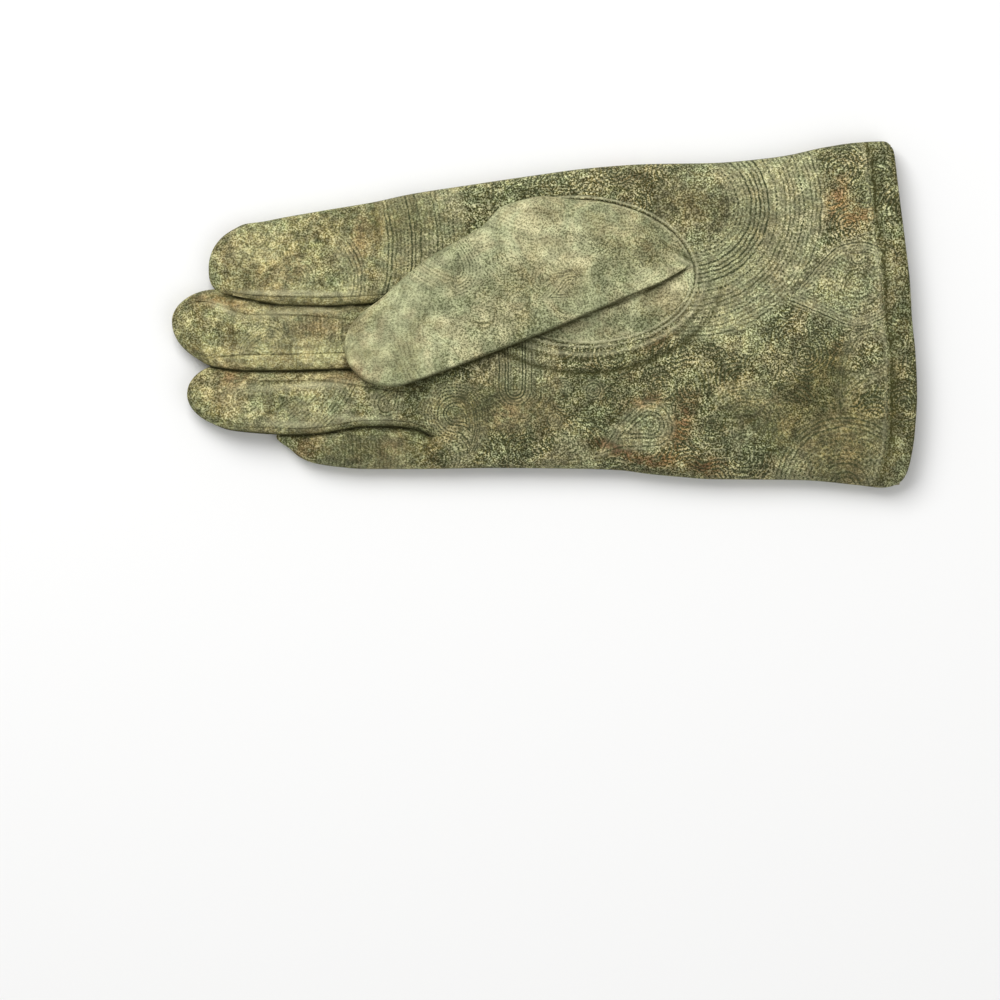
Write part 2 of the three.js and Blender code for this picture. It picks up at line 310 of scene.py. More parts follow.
# The small pucker where the thumb's fold runs into the seam: its place, its slant, its sharpness and where
# across the thumb the hollow behind it lies
PINCH = {"s": 107.6, "t": -12.9, "slant": 0.75, "sharpness": 0.8, "hollow": -12.4}

# The thumb: both edges across it and the height of its crown, along it
THUMB_ROWS = table(
    "s high low crown",
    (-2.6, 8.4, -16.8, 16.6),
    (5, 8.6, -17.4, 17.8),
    (11, 9.2, -18.1, 18.4),
    (22, 13.2, -18.5, 18.8),
    (34, 17, -18.6, 19),
    (52, 20, -18.5, 18.9),
    (61.2, 23.6, -18.4, 18.6),
    (72, 22.6, -18, 18),
    (82, 19.6, -17.6, 17.2),
    (91, 13.4, -17.2, 16.4),
    (98, 7, -17, 15.2),
    (104.5, 0, -16.1, 13.8),
    (108, -5.4, -15.5, 12.6),
    (110.2, -12.4, -15.2, 11.6),
)
THUMB_SPACING = 0.85
THUMB_COLUMNS = {"under": 8, "upper": 54, "pleat": 10, "gusset": 18}
THUMB_END_ROWS = 15
THUMB_END_LENGTH = 9.0

# Motifs of the print. Each is drawn by lines round a drop, with its middle at x, y and its tail along turn:
# taper is 0 for loops with straight sides, 1 for rings, and between them for drops. Curl bends the tail, in
# degrees per millimetre. Lines run from inner to outer, a spacing apart, and the stronger motif lies on top.
# A strip keeps a motif between two heights of y, so that it stays on its own finger. Facing is the direction
# and the half angle, in degrees, in which a motif shows that isn't whole.
EVERYWHERE = (-99, 99)
PALM_MOTIFS = table(
    "x y turn taper curl inner outer spacing ink strip facing",
    (47, 33.9, 0, 1, 0, 12, 42, 1.38, 0.95, EVERYWHERE, (-18, 78)),
    (47, 33.9, 130, 0.6, 9, 1, 12, 1.1, 0.35),
    (99.5, 9.6, 192, 0.58, 0, 10.2, 14.2, 0.98, 1.1),
    (99.5, 9.6, 192, 0.58, 3, 0, 10.2, 1.3, 0.5),
    (99.4, 18.1, 0, 1, 0, 0, 3, 0.9, 0.85),
    (103.8, -11.8, 216, 0.38, 1.2, 5, 9.2, 1.2, 0.7),
    (63.7, -34.9, -60, 0.7, 2, 3.5, 14, 1.3, 0.7, EVERYWHERE, (55, 85)),
    (63.7, -34.9, 200, 0.55, 6, 0.5, 5.5, 1.1, 0.5),
    (95.3, -54.7, 0, 1, 0, 3, 24, 1.42, 0.8),
    (-27.8, -31.4, -20, 0.5, -4, 1, 10.5, 1, 0.9),
    (-8.8, -23.4, 90, 0, 0, 1, 6.2, 0.92, 1.05),
    (-8.8, -23.4, 90, 0, 0, 6.2, 13.5, 1.5, 0.5),
    (15.8, -23.8, 0, 1, 0, 0, 3.3, 0.9, 0.95),
    (6.9, -22.9, 0, 1, 0, 0, 2.3, 0.8, 0.9),
    (3.5, -33.3, 0, 1, 0, 0, 2.8, 0.85, 0.9),
    (6.3, -39.4, 0, 1, 0, 0, 2.2, 0.8, 0.8),
    (33.7, -34.9, 193, 0.4, 1, 1.5, 8.2, 1.25, 0.78),
    (-104, 20.5, 0, 1, 0, 59, 65.5, 1.15, 1, (5, 60)),
    (-104, 20.5, 0, 1, 0, 53, 80, 1.3, 0.8, (5, 60)),
    (-75, 11, 0, 1, 0, 12, 20, 1.15, 0.75, (5, 60), (8, 42)),
    (-90, 24, 150, 0.6, 5, 1, 8, 1.1, 0.35, (5, 60)),
    (-78, 11, 200, 0.5, 6, 1, 7, 1.05, 0.4, (5, 60)),
    (-87, -9.6, 160, 0.5, 5, 1, 8, 1.05, 0.5, (-16, 7)),
    (-104, -3, 0, 1, 0, 22, 42, 1.15, 0.46, (-16, 7)),
    (-98.7, -4.9, 0, 1, 0, 31, 46, 1.15, 0.6, (-37, -17)),
    (-49.5, -28.2, 45, 0.4, 2, 0.5, 5.4, 1.05, 0.7, (-37, -17)),
    (-94, -27, 10, 0.5, 4, 2, 8, 1.1, 0.4, (-37, -17)),
    (-78.5, -43.4, 0, 1, 0, 10, 36, 1.2, 0.56, (-60, -37)),
    (61, -3, 70, 0.5, 5, 2, 9, 1.3, 0.3),
    (8, -50, 20, 0.6, 5, 2, 9, 1.1, 0.5),
    (-44, 27, 20, 0.6, 3, 2, 16, 1.2, 0.3),
)
THUMB_MOTIFS = table(
    "x y turn taper curl inner outer spacing ink strip facing",
    (-28.4, 14, 75, 0.5, 2, 3, 9.5, 1, 0.9, EVERYWHERE, (0, 80)),
    (-22, 34, 0, 1, 0, 21, 30, 1.1, 0.8, EVERYWHERE, (232, 20)),
    (2, 62, 0, 1, 0, 30, 40, 1.2, 0.6, EVERYWHERE, (247, 18)),
    (8.8, 8.7, 215, 0.39, -1, 0.4, 4.9, 0.88, 0.9, EVERYWHERE, (150, 90)),
    (-47.6, -21.9, 0, 1, 0, 8, 27, 1.25, 0.26, EVERYWHERE, (95, 62)),
    (25, 62, 0, 1, 0, 20, 38, 1.2, 0.42, EVERYWHERE, (250, 30)),
    (-14, -4, 0, 1, 0, 24, 34, 1.3, 0.45),
    (36, 8, 160, 0.5, 3, 1, 8, 1.1, 0.35),
)

# How softly a motif ends: at most how far before its first line and round its last one, how many radians
# beside its facing and how far past its strip's sides. Then where its tail ends, and by how much the stronger
# of two motifs has to lead to show in full.
MOTIF_SOFT = 3.0
FACING_SOFT = 0.25
STRIP_SOFT = 0.6
TAIL_ENDS = (42, 35)
FULL_LEAD = 0.07

# On the back the print is the palm's, turned over and moved across by this much
BACK_PRINT = 4.0

# Places where the suede is paler, above zero, or darker, and where the print has worn to tan or taken a
# reddish stain: place, turn in degrees, half length and half width
PATCHES = table(
    "x y turn long wide tone tan red",
    (-86, 19, 8, 24, 11, 0.6, 0.15, 0),
    (-95, -5, 0, 22, 8, 0.4, 0.1, 0),
    (-92, -24, 0, 18, 8, 0.15, 0.1, 0),
    (67, 27, 0, 15, 17, -0.4, 0.15, 0),
    (28, -2, 14, 17, 4.5, -0.45, 0, 0),
    (90, 38, 0, 12, 14, 0.4, 0, 0),
    (96, 11, 0, 11, 8, 0.35, 0.1, 0),
    (-15, 40, 8, 22, 4, 0.3, 0, 0),
    (95, -38, 80, 22, 15, -1.1, 0.3, 0.15),
    (-60, -43, 0, 20, 6, -0.68, 0.1, 0.1),
    (-18, -29, 0, 22, 10, -0.95, 0, 0),
    (22, -28, 0, 28, 18, -0.5, 0, 0),
    (62, -18, 0, 20, 16, -0.4, 0.1, 0),
    (-80, -12.6, 0, 34, 4.6, 1.4, 0.8, 0),
    (-82, 2, 0, 26, 5, 0.6, 0.1, 0),
    (-80, 5.2, 0, 26, 2.6, 1.3, 0.2, 0),
    (-84, -22.5, 0, 30, 3, -0.1, 0.1, 0.1),
    (44, 35, -20, 15, 9, -0.6, 0.15, 0),
    (88, -18, 60, 14, 7, -0.7, 0, 0),
    (76, -36, 70, 12, 5, -0.6, 0, 0),
    (65, -33, 0, 13, 9, -0.55, 0, 0),
    (112, 0, 90, 60, 5, -0.5, 0, 0),
    (-30, -42, 0, 24, 6, -0.4, 0, 0),
    (-44, 29, 12, 18, 10, -0.75, 0.1, 0),
    (28, 44, 0, 12, 4, -0.3, 0.2, 0.1),
    (93, 37, 80, 7.5, 3.2, 0, 0.1, 0.85),
    (95.5, 33, 0, 6, 4.4, 0.3, 0.9, 0.2),
    (99.5, 30.5, 25, 5.5, 2.6, 0, 0.1, 0.8),
    (33, -27.5, 12, 7.5, 2.2, 0, 0.3, 0.7),
    (43.5, -35, 74, 8.5, 3, 0, 0.1, 1),
    (23.5, -42.8, -22, 9.5, 2.3, -0.35, 0, 1),
    (37, -46, 10, 6, 2.3, -0.4, 0, 0.8),
    (51.5, -48, 0, 7, 3, -0.5, 0.2, 0.8),
    (36.5, -8.6, 30, 7, 2.2, 0, 0.2, 0.6),
    (34.5, 5, 0, 6, 5, 0, 0.3, 0.1),
    (-92.4, 17.2, 10, 12, 6, 0, 0.3, 0.2),
    (-79, 14, 20, 12, 5, 0, 0.3, 0.3),
    (-58, 24, 85, 9, 2.6, 0, 0.2, 0.55),
    (-53, 30, 95, 10, 1.6, -0.5, 0, 0),
    (-103, 4.4, -14, 9, 2, -0.1, 0.2, 0.6),
    (-72, -3.5, 0, 9, 5, -0.15, 0.1, 0.45),
    (-106, -4, -38, 7, 1.6, -0.7, 0, 0),
    (-102, -27.5, 0, 7, 5, 0.1, 0.45, 0.2),
    (-98, -19.5, 0, 5, 3, 0, 0.1, 0.7),
    (-62, -19.5, 12, 9, 2.5, 0, 0.1, 0.5),
    (-76, -43, 40, 8, 3, 0, 0.2, 0.4),
    (-48, -43, 80, 5, 3.4, 0, 0.35, 0.3),
    (-41, -44, 90, 5, 3, 0.1, 0.4, 0),
    (-11, -31.5, 35, 10, 5, 0.25, 0.5, 0.4),
    (27, 21, -20, 13, 7, 0, 0.3, 0.15),
    (-2, 9, 10, 16, 7, 0, 0.3, 0.1),
    (-44, -4, 20, 12, 6, 0.3, 0.1, 0),
    (-27, 15, 60, 9, 6, -0.42, 0, 0),
    (9, 8.5, 30, 8, 5, -0.4, 0, 0),
    (11, 32.5, -4, 15, 3.5, -0.4, 0, 0),
    (36.5, 18, 20, 9, 5, -0.4, 0, 0),
    (-49, -13, 20, 9, 6, -0.3, 0, 0),
    (70, -12, 0, 14, 8, 0.05, 0.3, 0),
)

# How strongly each layer of the suede's colour covers what lies below it
# The worn layer holds wear and painted highlights, and the last one painted shade and dirt
COVER = {
    "clouds": 0.7, "deep": 0.68, "tan": 0.7, "stains": 0.6, "browner": 0.6, "specks": 0.3, "nap": 0.74,
    "gaps": 0.27, "worn": 0.6, "painted_shade_and_dirt": 0.95,
}

# What the greener and browner places and the stains do to the suede's colour
GREEN_TINT = (0.95, 1.012, 1.0)
BROWN_TINT = (1.025, 0.99, 0.985)
STAIN_TINT = (1.16, 0.88, 0.8)

# Each leather: its light and dark tone, the strength of its print, its contrast and the size of its clouds
LEATHERS = {
    "printed_suede": ("sand", "olive", 1.15, 1.0, 6.5),
    "pale_suede": ("thumb_light", "thumb_dark", 0.8, 0.66, 13.0),
    "side_suede": ("side_light", "side_dark", 0.8, 0.95, 6.5),
}

# The suede's noises: the size of their patches in millimetres, their detail, roughness and distortion
NOISES = {
    "patches": (18.0, 4.0, 0.66, 0.6),
    "tints": (12.0, 3.0, 0.55, 0.6),
    "browner": (9.5, 3.0, 0.6, 0.5),
    "faded print": (5.5, 3.0, 0.7, 0.0),
    "clouds": (5.0, 3.0, 0.62, 0.4),
    "stains": (2.6, 3.0, 0.6, 0.0),
    "specks": (2.1, 1.0, 0.4, 0.0),
    "pores": (1.1, 2.0, 0.6, 0.5),
    "fibres": (0.5, 1.0, 0.5, 0.0),
    "flesh": (1.6, 4.0, 0.7, 0.8),
}

# Along the glove, in metres, where the grain turns from the fingers' calm one to the palm's
FINGER_CALM = (-45 * MM, -20 * MM)

# How dark the painted shade and dirt are at the hem's seam, at the cuff's edge, in the thumb hole's grooves,
# in the slits, under the thumb's fold and at its pucker
PAINTED_SHADE_AND_DIRT = {"seam": 0.5, "cuff": 0.3, "groove": 1.3, "slit": 1.4, "fold": 1.5, "pucker": 0.7}

# The painted shade in a slit starts and ends softly, over these distances past the fingertip and past the
# crotch, and the painted shade under the fold lies between these places along the thumb
SLIT_SHADE_STARTS = (-2, 9)
SLIT_SHADE_ENDS = (0, 3)
FOLD_SHADE_STARTS = (4, 16)
FOLD_SHADE_ENDS = (106, 110)

# The crest beside the thumb hole that is painted pale, as wear and as a painted highlight: its distance from
# the rim, its width and by how much
CREST_WEAR_AND_HIGHLIGHT = {"away": 3.2, "width": 0.6, "worn": 0.6}

# The print is fainter on the hem, whose edge fades over these distances from the cuff, by this share
HEM_FADES = (8.6, 7.4)
HEM_FAINT = 0.7

# The fingers' seams are drawn dark up to this place along the glove, and by this much
FINGER_SEAMS_END = -36.0
FINGER_SEAMS_DARK = 0.45

# How much of the print's ink shows on the fourchettes
FOURCHETTE_INK = 0.45

# The print's lines run in groups of this many, some of which are ropes of slanting dashes
LINES_IN_GROUP = 3.0

# The ground's small scrolls: how far apart their middles and their rings are
SCROLL_SIZE = 11.0
SCROLL_RING = 1.35

# The camera looks straight down from above this point of the glove, and sees this width at the palm's height.
# Its nearest and farthest distance are in metres.
VIEW = {"x": -13.6, "y": -58.5, "height": 2000.0, "width": 315.4, "sensor": 36.0, "clip": (0.05, 20)}

# The stage, in metres: the floor's half width and how far it lies below the glove, its pale grey, roughness
# and shine, the strength of the white surroundings, and the soft lights
FLOOR = {"reach": 3.0, "below": 0.0002, "colour": (0.86, 0.86, 0.855, 1.0), "roughness": 0.9, "shine": 0.1}
SURROUNDINGS = 0.42
LIGHTS = table(
    "name place size power",
    ("key", (-0.4, 0.8, 1.2), 1.0, 20.0),
    ("fill", (0.9, -0.6, 1.3), 1.4, 6.0),
)


def smoothstep(low, high, value):
    """Rises smoothly from 0 at low to 1 at high."""
    t = np.clip((np.asarray(value, float) - low) / (high - low), 0, 1)
    return t * t * (3 - 2 * t)


def between(first, second, share):
    """The value that lies a share of the way from the first to the second."""
    return first + (second - first) * share


def bell(distance, width):
    """A soft ridge along a line: 1 on the line, and next to nothing two widths away."""
    return np.exp(-((distance / width) ** 2))


def turned(x, y, angle):
    """Points as they lie in a frame that is turned by an angle."""
    cos, sin = np.cos(angle), np.sin(angle)
    return x * cos + y * sin, y * cos - x * sin


def curve_through(rows):
    """A smooth function of the first number through rows of two, which doesn't overshoot them."""
    xs, ys = np.array(rows, float).T
    step = np.diff(xs)
    slope = np.diff(ys) / step
    product = slope[1:] * slope[:-1]
    total = slope[1:] + slope[:-1]
    inner = np.where(product > 0, 2 * product / np.where(total == 0, 1, total), 0)
    tangent = np.concatenate(([slope[0]], inner, [slope[-1]]))

    def curve(x):
        x = np.clip(np.asarray(x, float), xs[0], xs[-1])
        i = np.clip(np.searchsorted(xs, x) - 1, 0, len(step) - 1)
        t = (x - xs[i]) / step[i]
        rise = ys[i + 1] - ys[i]
        start, end = tangent[i] * step[i], tangent[i + 1] * step[i]
        return ys[i] + start * t + (3 * rise - 2 * start - end) * t**2 + (start + end - 2 * rise) * t**3

    return curve


def swell(distance, radius):
    """How far a puffed sheet has risen at a distance from its edge: 0 at the edge and 1 past the radius."""
    t = np.clip(distance / radius, 0, 1)
    return (1 - (1 - t) ** EDGE_ROUND) ** (1 / EDGE_ROUND)


def distance_to(x, y, line):
    """The distance of every point from a line of points joined by straight stretches."""
    points = np.stack([np.ravel(x), np.ravel(y)], 1)
    along = line[1:] - line[:-1]
    length = np.maximum((along**2).sum(1), 1e-12)
    nearest = np.full(len(points), 1e9)
    for start, direction, squared in zip(line, along, length):
        offset = points - start
        t = np.clip(offset @ direction / squared, 0, 1)
        gap = offset - t[:, None] * direction
        nearest = np.minimum(nearest, (gap**2).sum(1))
    return np.sqrt(nearest).reshape(np.shape(x))


def mound(x, y, row):
    """A long soft mound at a row's place, 1 at its middle."""
    along, across = turned(x - row["x"], y - row["y"], math.radians(row["turn"]))
    return bell(along, row["long"]) * bell(across, row["wide"])


def undulation(x, y, size, seed):
    """Smooth noise over the plan, for every point."""
    flat = [noise.noise(Vector((a / size, b / size, seed))) for a, b in zip(np.ravel(x), np.ravel(y))]
    return np.array(flat).reshape(np.shape(x))


def waves(x, y, rows):
    """The height of all waves of a table together."""
    return sum(row["height"] * undulation(x, y, row["size"], row["seed"]) for row in rows)


def sampled(curve, start=-60.0, end=135.0, spacing=1.0):
    """A curve's points at even places along the glove."""
    x = np.arange(start, end, spacing)
    return np.stack([x, curve(x)], 1)


cuff_end = curve_through(CUFF)
high_side = curve_through(HIGH_SIDE)
low_side = curve_through(LOW_SIDE)
thumb_line = {
    name: curve_through([(row["s"], row[name]) for row in THUMB_ROWS]) for name in ("high", "low", "crown")
}
for slit in SLITS:
    slit["upper_edge"] = curve_through(slit["upper"])
    slit["lower_edge"] = curve_through(slit["lower"])
OUTER_HIGH = sampled(high_side)
OUTER_LOW = sampled(low_side)


def share_line(slit, x, side):
    """The edge beside a slit, and past its crotch a line that keeps its share of the hand's width."""
    crotch = slit["crotch"]
    high, low = float(high_side(crotch)), float(low_side(crotch))
    share = (high - float(slit[side](crotch))) / (high - low)
    return np.where(x < crotch, slit[side](np.minimum(x, crotch)), between(high_side(x), low_side(x), share))


class Finger:
    """A finger's share of the hand: its edges in plan, its rows and the heights of its two sheets."""

    def __init__(self, index):
        self.index = index
        self.tip = FINGERS[index]
        self.above = SLITS[index - 1] if index > 0 else None
        self.below = SLITS[index] if index < len(SLITS) else None
        self.rows = self.row_places()
        self.high_line = self.edge_line(self.high, self.above)
        self.low_line = self.edge_line(self.low, self.below)

    def row_places(self):
        """Where the rows lie: crowded at the tip, even along the finger and shared by all over the palm."""
        quarter = np.linspace(0, math.pi / 2, TIP_ROWS + 1)
        rounding = self.tip["x"] + self.tip["length"] * (1 - np.cos(quarter))
        first = ROW_STRETCHES[0]["start"]
        count = max(2, round((first - rounding[-1]) / FINGER_ROW))
        parts = [rounding[:-1], np.linspace(rounding[-1], first, count + 1)[:-1]]
        for stretch in ROW_STRETCHES:
            steps = round((stretch["end"] - stretch["start"]) / stretch["spacing"])
            parts.append(np.linspace(stretch["start"], stretch["end"], steps + 1)[:-1])
        return np.concatenate(parts + [[ROW_STRETCHES[-1]["end"]]])

    def rounded(self, x, edge, square):
        """An edge drawn in to the fingertip."""
        t = np.clip((x - self.tip["x"]) / self.tip["length"], 0, 1)
        return between(self.tip["y"], edge, (1 - (1 - t) ** square) ** (1 / square))

    def high(self, x):
        """The edge on the index side, or past the crotch the line to the next finger's share."""
        edge = high_side(x) if self.above is None else share_line(self.above, x, "lower_edge")
        return self.rounded(x, edge, self.tip["square_high"])

    def low(self, x):
        """The edge on the little-finger side, or past the crotch the line to the next finger's share."""
        edge = low_side(x) if self.below is None else share_line(self.below, x, "upper_edge")
        return self.rounded(x, edge, self.tip["square_low"])

    def edge_line(self, edge, slit):
        """The points of an edge where the leather ends or turns round it."""
        rows = self.rows if slit is None else self.rows[self.rows <= slit["crotch"] + 1e-6]
        line = np.stack([rows, edge(rows)], 1)
        return line if slit is not None else np.vstack([line, line[-1] + (EDGE_RADIUS * 2, 0)])

    def overlap(self, x, slit):
        """How far the lower finger's edge is tucked under the upper finger at a slit, and how surely."""
        upper_tip = FINGERS[SLITS.index(slit)]["x"]
        there = smoothstep(*OVERLAP_GROWS, x - upper_tip)
        near = 1 - smoothstep(*OVERLAP_ENDS, x - slit["crotch"])
        width = np.maximum(slit["lower_edge"](x) - slit["upper_edge"](x), 0)
        return width * there, there * near

    def edge_shift(self, x, distance, slit, share):
        """How far the middle height is moved near an edge: down at a free one, with the overlap at a slit."""
        near = 1 - smoothstep(0, EDGE_REACH, distance)
        if slit is None:
            return (FREE_EDGE - MIDDLE_HEIGHT) * near
        width, _sure = self.overlap(np.minimum(x, slit["crotch"]), slit)
        return share * width * near

    def heights(self, x, y):
        """The upper and lower sheet's heights over the plan."""
        to_high = distance_to(x, y, self.high_line)
        to_low = distance_to(x, y, self.low_line)
        on_palm = smoothstep(*KNUCKLES, x)
        outer = np.minimum(distance_to(x, y, OUTER_HIGH), distance_to(x, y, OUTER_LOW)) + FAR * (1 - on_palm)
        nearest = np.minimum(np.minimum(to_high, to_low), outer)
        raised = swell(nearest, EDGE_RADIUS)
        middle = MIDDLE_HEIGHT + self.edge_shift(x, to_high, self.above, -TUCK)
        middle = middle + self.edge_shift(x, to_low, self.below, LIFT)
        top = between(FINGER_TOP, PALM_TOP, on_palm)
        slim = between(TIP_SLIM, 1, smoothstep(0, TIP_TAPER, x - self.tip["x"]))
        crown = CROWN * smoothstep(EDGE_RADIUS * 0.6, EDGE_RADIUS * 2, nearest)
        upper = middle + ((top - MIDDLE_HEIGHT) * slim + crown) * raised
        lower = np.maximum(middle - UNDER_SWELL * raised, 0)
        if self.above is not None:
            width, sure = self.overlap(x, self.above)
            layer = MIDDLE_HEIGHT - TUCK * width + self.above["lower_edge"](x) - y - LAYER_GAP
            upper = upper + np.minimum(layer - upper, 0) * sure
            lower = np.minimum(lower, upper)
        if self.below is not None:
            width, sure = self.overlap(x, self.below)
            layer = MIDDLE_HEIGHT - TUCK * width + self.below["lower_edge"](x) - y + LAYER_GAP
            lower = np.minimum(lower + np.maximum(layer - lower, 0) * sure, upper)
        return upper, lower

    def strips(self, x):
        """The widths of the strips along the high and the low edge."""
        taper = between(STRIP_LEAST, 1, smoothstep(*STRIP_WIDENS, x - self.tip["x"]))
        high = OUTER_STRIP if self.above is None else self.above["lower_width"] * taper
        low = OUTER_STRIP if self.below is None else self.below["upper_width"] * taper
        narrow = np.minimum(1, (self.high(x) - self.low(x)) / SLIM_FINGER)
        return high * narrow, low * narrow

    def columns(self, layout):
        """Where a grid's columns lie across this share at each of its rows."""
        x = self.rows
        high, low = self.high(x), self.low(x)
        high_strip, low_strip = self.strips(x)
        crowd = np.append(np.linspace(0, 1, layout["strip"]) ** layout["crowding"] * BESIDE_SEAM, 1.0)
        weights = np.ones(layout["panels"][self.index])
        weights[:2] = SEAM_COLUMNS
        weights[-2:] = SEAM_COLUMNS[::-1]
        panel = np.concatenate(([0], np.cumsum(weights))) / weights.sum()
        first, last = high - high_strip, low + low_strip
        parts = [
            high[:, None] - high_strip[:, None] * crowd,
            between(first[:, None], last[:, None], panel[1:-1]),
            low[:, None] + low_strip[:, None] * crowd[::-1],
        ]
        return self.evened(x, np.concatenate(parts, 1), layout)

    def evened(self, x, y, layout):
        """Past the crotches the inner strips are no longer needed, so the columns spread out evenly."""
        count = y.shape[1] - 1
        even_from = layout["strip"] if self.above is None else 0
        even_to = count - layout["strip"] if self.below is None else count
        share = np.linspace(0, 1, even_to - even_from + 1)
        even = y.copy()
        even[:, even_from : even_to + 1] = between(y[:, [even_from]], y[:, [even_to]], share)
        crotch = max(s["crotch"] for s in (self.above, self.below) if s is not None)
        return between(y, even, smoothstep(crotch + CROTCH_END, crotch + COLUMNS_EVEN, x)[:, None])


HAND = [Finger(index) for index in range(len(FINGERS))]


def bowed(x, y):
    """Draws the last stretch of the hand out to the cuff's edge."""
    share = np.clip((x - BOW_START) / (ROW_STRETCHES[-1]["end"] - BOW_START), 0, None)
    return np.where(x > BOW_START, between(BOW_START, cuff_end(y), share), x)


def from_hole(x, y):
    """The distance outside the thumb hole's edge, and how far towards the little-finger side, from 0 to 1."""
    dx, dy = x - HOLE["x"], y - HOLE["y"]
    along, across = turned(dx, dy, HOLE["turn"])
    ring = np.maximum(np.hypot(along / HOLE["half_length"], across / HOLE["half_width"]), 1e-6)
    return np.hypot(dx, dy) * (1 - 1 / ring), smoothstep(*HOLE_SIDES, -across / HOLE["half_width"])


def hem_wobble(y):
    """How far the hem's sewn line strays."""
    return sum(row["by"] * np.sin(y * row["rate"] + row["start"]) for row in HEM_STRAYS)


def from_hem_seam(x, y):
    """The distance from the hem's sewn line, towards the fingers."""
    return cuff_end(y) - x - HEM_STITCHES["back"] - hem_wobble(y)


def hem_relief(x, y):
    """The sewn groove of the hem, its swellings and the puckers along it."""
    back = cuff_end(y) - x
    relief = -HEM_GROOVE["depth"] * bell(from_hem_seam(x, y), HEM_GROOVE["width"])
    for ridge in HEM_SWELLINGS:
        relief = relief + ridge["height"] * bell(back - ridge["back"], ridge["width"])
    ripple = np.sin(2 * math.pi * y / PUCKERS["length"] + 1.6 * np.sin(y * 0.31))
    return relief + PUCKERS["height"] * ripple * bell(back - PUCKERS["back"], PUCKERS["width"])


def palm_relief(x, y):
    """Everything that stands out of the palm side or is pressed into it."""
    away, one_side = from_hole(x, y)
    height = hem_relief(x, y)
    wobble = 1 + 0.35 * undulation(x, y, 7.0, 3.0)
    for ridge in HOLE_RIDGES:
        strength = 1 - ridge["one_side"] * (1 - one_side)
        height += strength * wobble * ridge["height"] * bell(away - ridge["away"], ridge["width"])
    for dent in DENTS:
        height += dent["height"] * mound(x, y, dent)
    return height + waves(x, y, PALM_WAVES)


def seam_relief(columns, seam, fade):
    """A groove along a seam's column with a low ridge on both sides."""
    relief = np.zeros((len(fade), columns))
    relief[:, seam] -= SEAM_GROOVE * fade
    for beside, height in SEAM_RIDGES.items():
        for column in (seam - beside, seam + beside):
            relief[:, column] += height * fade
    return relief


def sheet_points(finger, layout, upper):
    """The points of one sheet of a finger's share, as an array of rows and columns, with the hem's roll."""
    y = finger.columns(layout)
    x = np.repeat(finger.rows[:, None], y.shape[1], 1)
    top, bottom = finger.heights(x, y)
    plan_x = bowed(x, y)
    nearest = np.minimum(distance_to(x, y, finger.high_line), distance_to(x, y, finger.low_line))
    inside = swell(nearest, RELIEF_REACH)
    relief = palm_relief(plan_x, y) if upper else -hem_relief(plan_x, y)
    for slit, seam in ((finger.above, layout["strip"]), (finger.below, y.shape[1] - 1 - layout["strip"])):
        if slit is not None:
            fade = smoothstep(0, SEAM_STARTS, finger.rows - finger.tip["x"])
            fade = fade * (1 - smoothstep(*SEAM_ENDS, finger.rows - slit["crotch"]))
            relief = relief + seam_relief(y.shape[1], seam, fade)
    z = top + relief * inside if upper else np.maximum(bottom + relief * inside * BACK_RELIEF, 0)
    points = np.stack([plan_x, y, z], 2)
    return np.concatenate([points, hem_roll(plan_x[-1], y[-1], z[-1], (top - bottom)[-1], upper)])


def hem_roll(x, y, z, thick, upper):
    """The rows past the cuff's edge: round the fold and back inside."""
    side = 1 if upper else -1
    radius = np.minimum(HEM_ROLL, thick * HEM_ROLL_SHARE)
    rows = []
    for step in range(1, HEM_ROLL_STEPS + 1):
        angle = math.pi * step / HEM_ROLL_STEPS
        out = x + HEM_ROLL_REACH * radius * math.sin(angle)
        rows.append(np.stack([out, y, z - side * radius * (1 - math.cos(angle))], 1))
    for back in HEM_BACK:
        rows.append(np.stack([x - back, y, z - side * radius * 2], 1))
    return np.array(rows)


def add_grid(bm, points):
    """A flat grid whose vertices are laid out on an array of points in millimetres."""
    rows, columns = points.shape[:2]
    made = bmesh.ops.create_grid(bm, x_segments=columns - 1, y_segments=rows - 1, size=1.0)
    for vert in made["verts"]:
        i = round((vert.co.y + 1) / 2 * (rows - 1))
        j = round((vert.co.x + 1) / 2 * (columns - 1))
        vert.co = Vector(points[i, j]) * MM
    return made["verts"]


def close_up(bm, reach):
    """Joins the grids along their shared edges, and turns all faces of the open tube outwards."""
    bmesh.ops.remove_doubles(bm, verts=bm.verts, dist=reach * MM)
    bmesh.ops.dissolve_degenerate(bm, edges=bm.edges, dist=reach * MM)
    bmesh.ops.recalc_face_normals(bm, faces=bm.faces)
    highest = max(bm.faces, key=lambda face: face.calc_center_median().z)
    if highest.normal.z < 0:
        bmesh.ops.reverse_faces(bm, faces=bm.faces)


def strip_owner(finger, layout, points):
    """For each quad of a sheet, its fourchette's number, counted from 1, or 0 for the trank."""
    rows, columns = points.shape[0] - 1, points.shape[1] - 1
    strip = layout["strip"]
    owner = np.zeros((rows, columns), int)
    along = np.concatenate([finger.rows, np.full(rows + 1 - len(finger.rows), finger.rows[-1])])
    middle = (along[1:] + along[:-1]) / 2
    for slit, span in ((finger.above, slice(0, strip)), (finger.below, slice(-strip, None))):
        if slit is not None:
            here = (middle > slit["start"]) & (middle < slit["crotch"] + CROTCH_END)
            owner[here, span] = SLITS.index(slit) + 1
    return owner


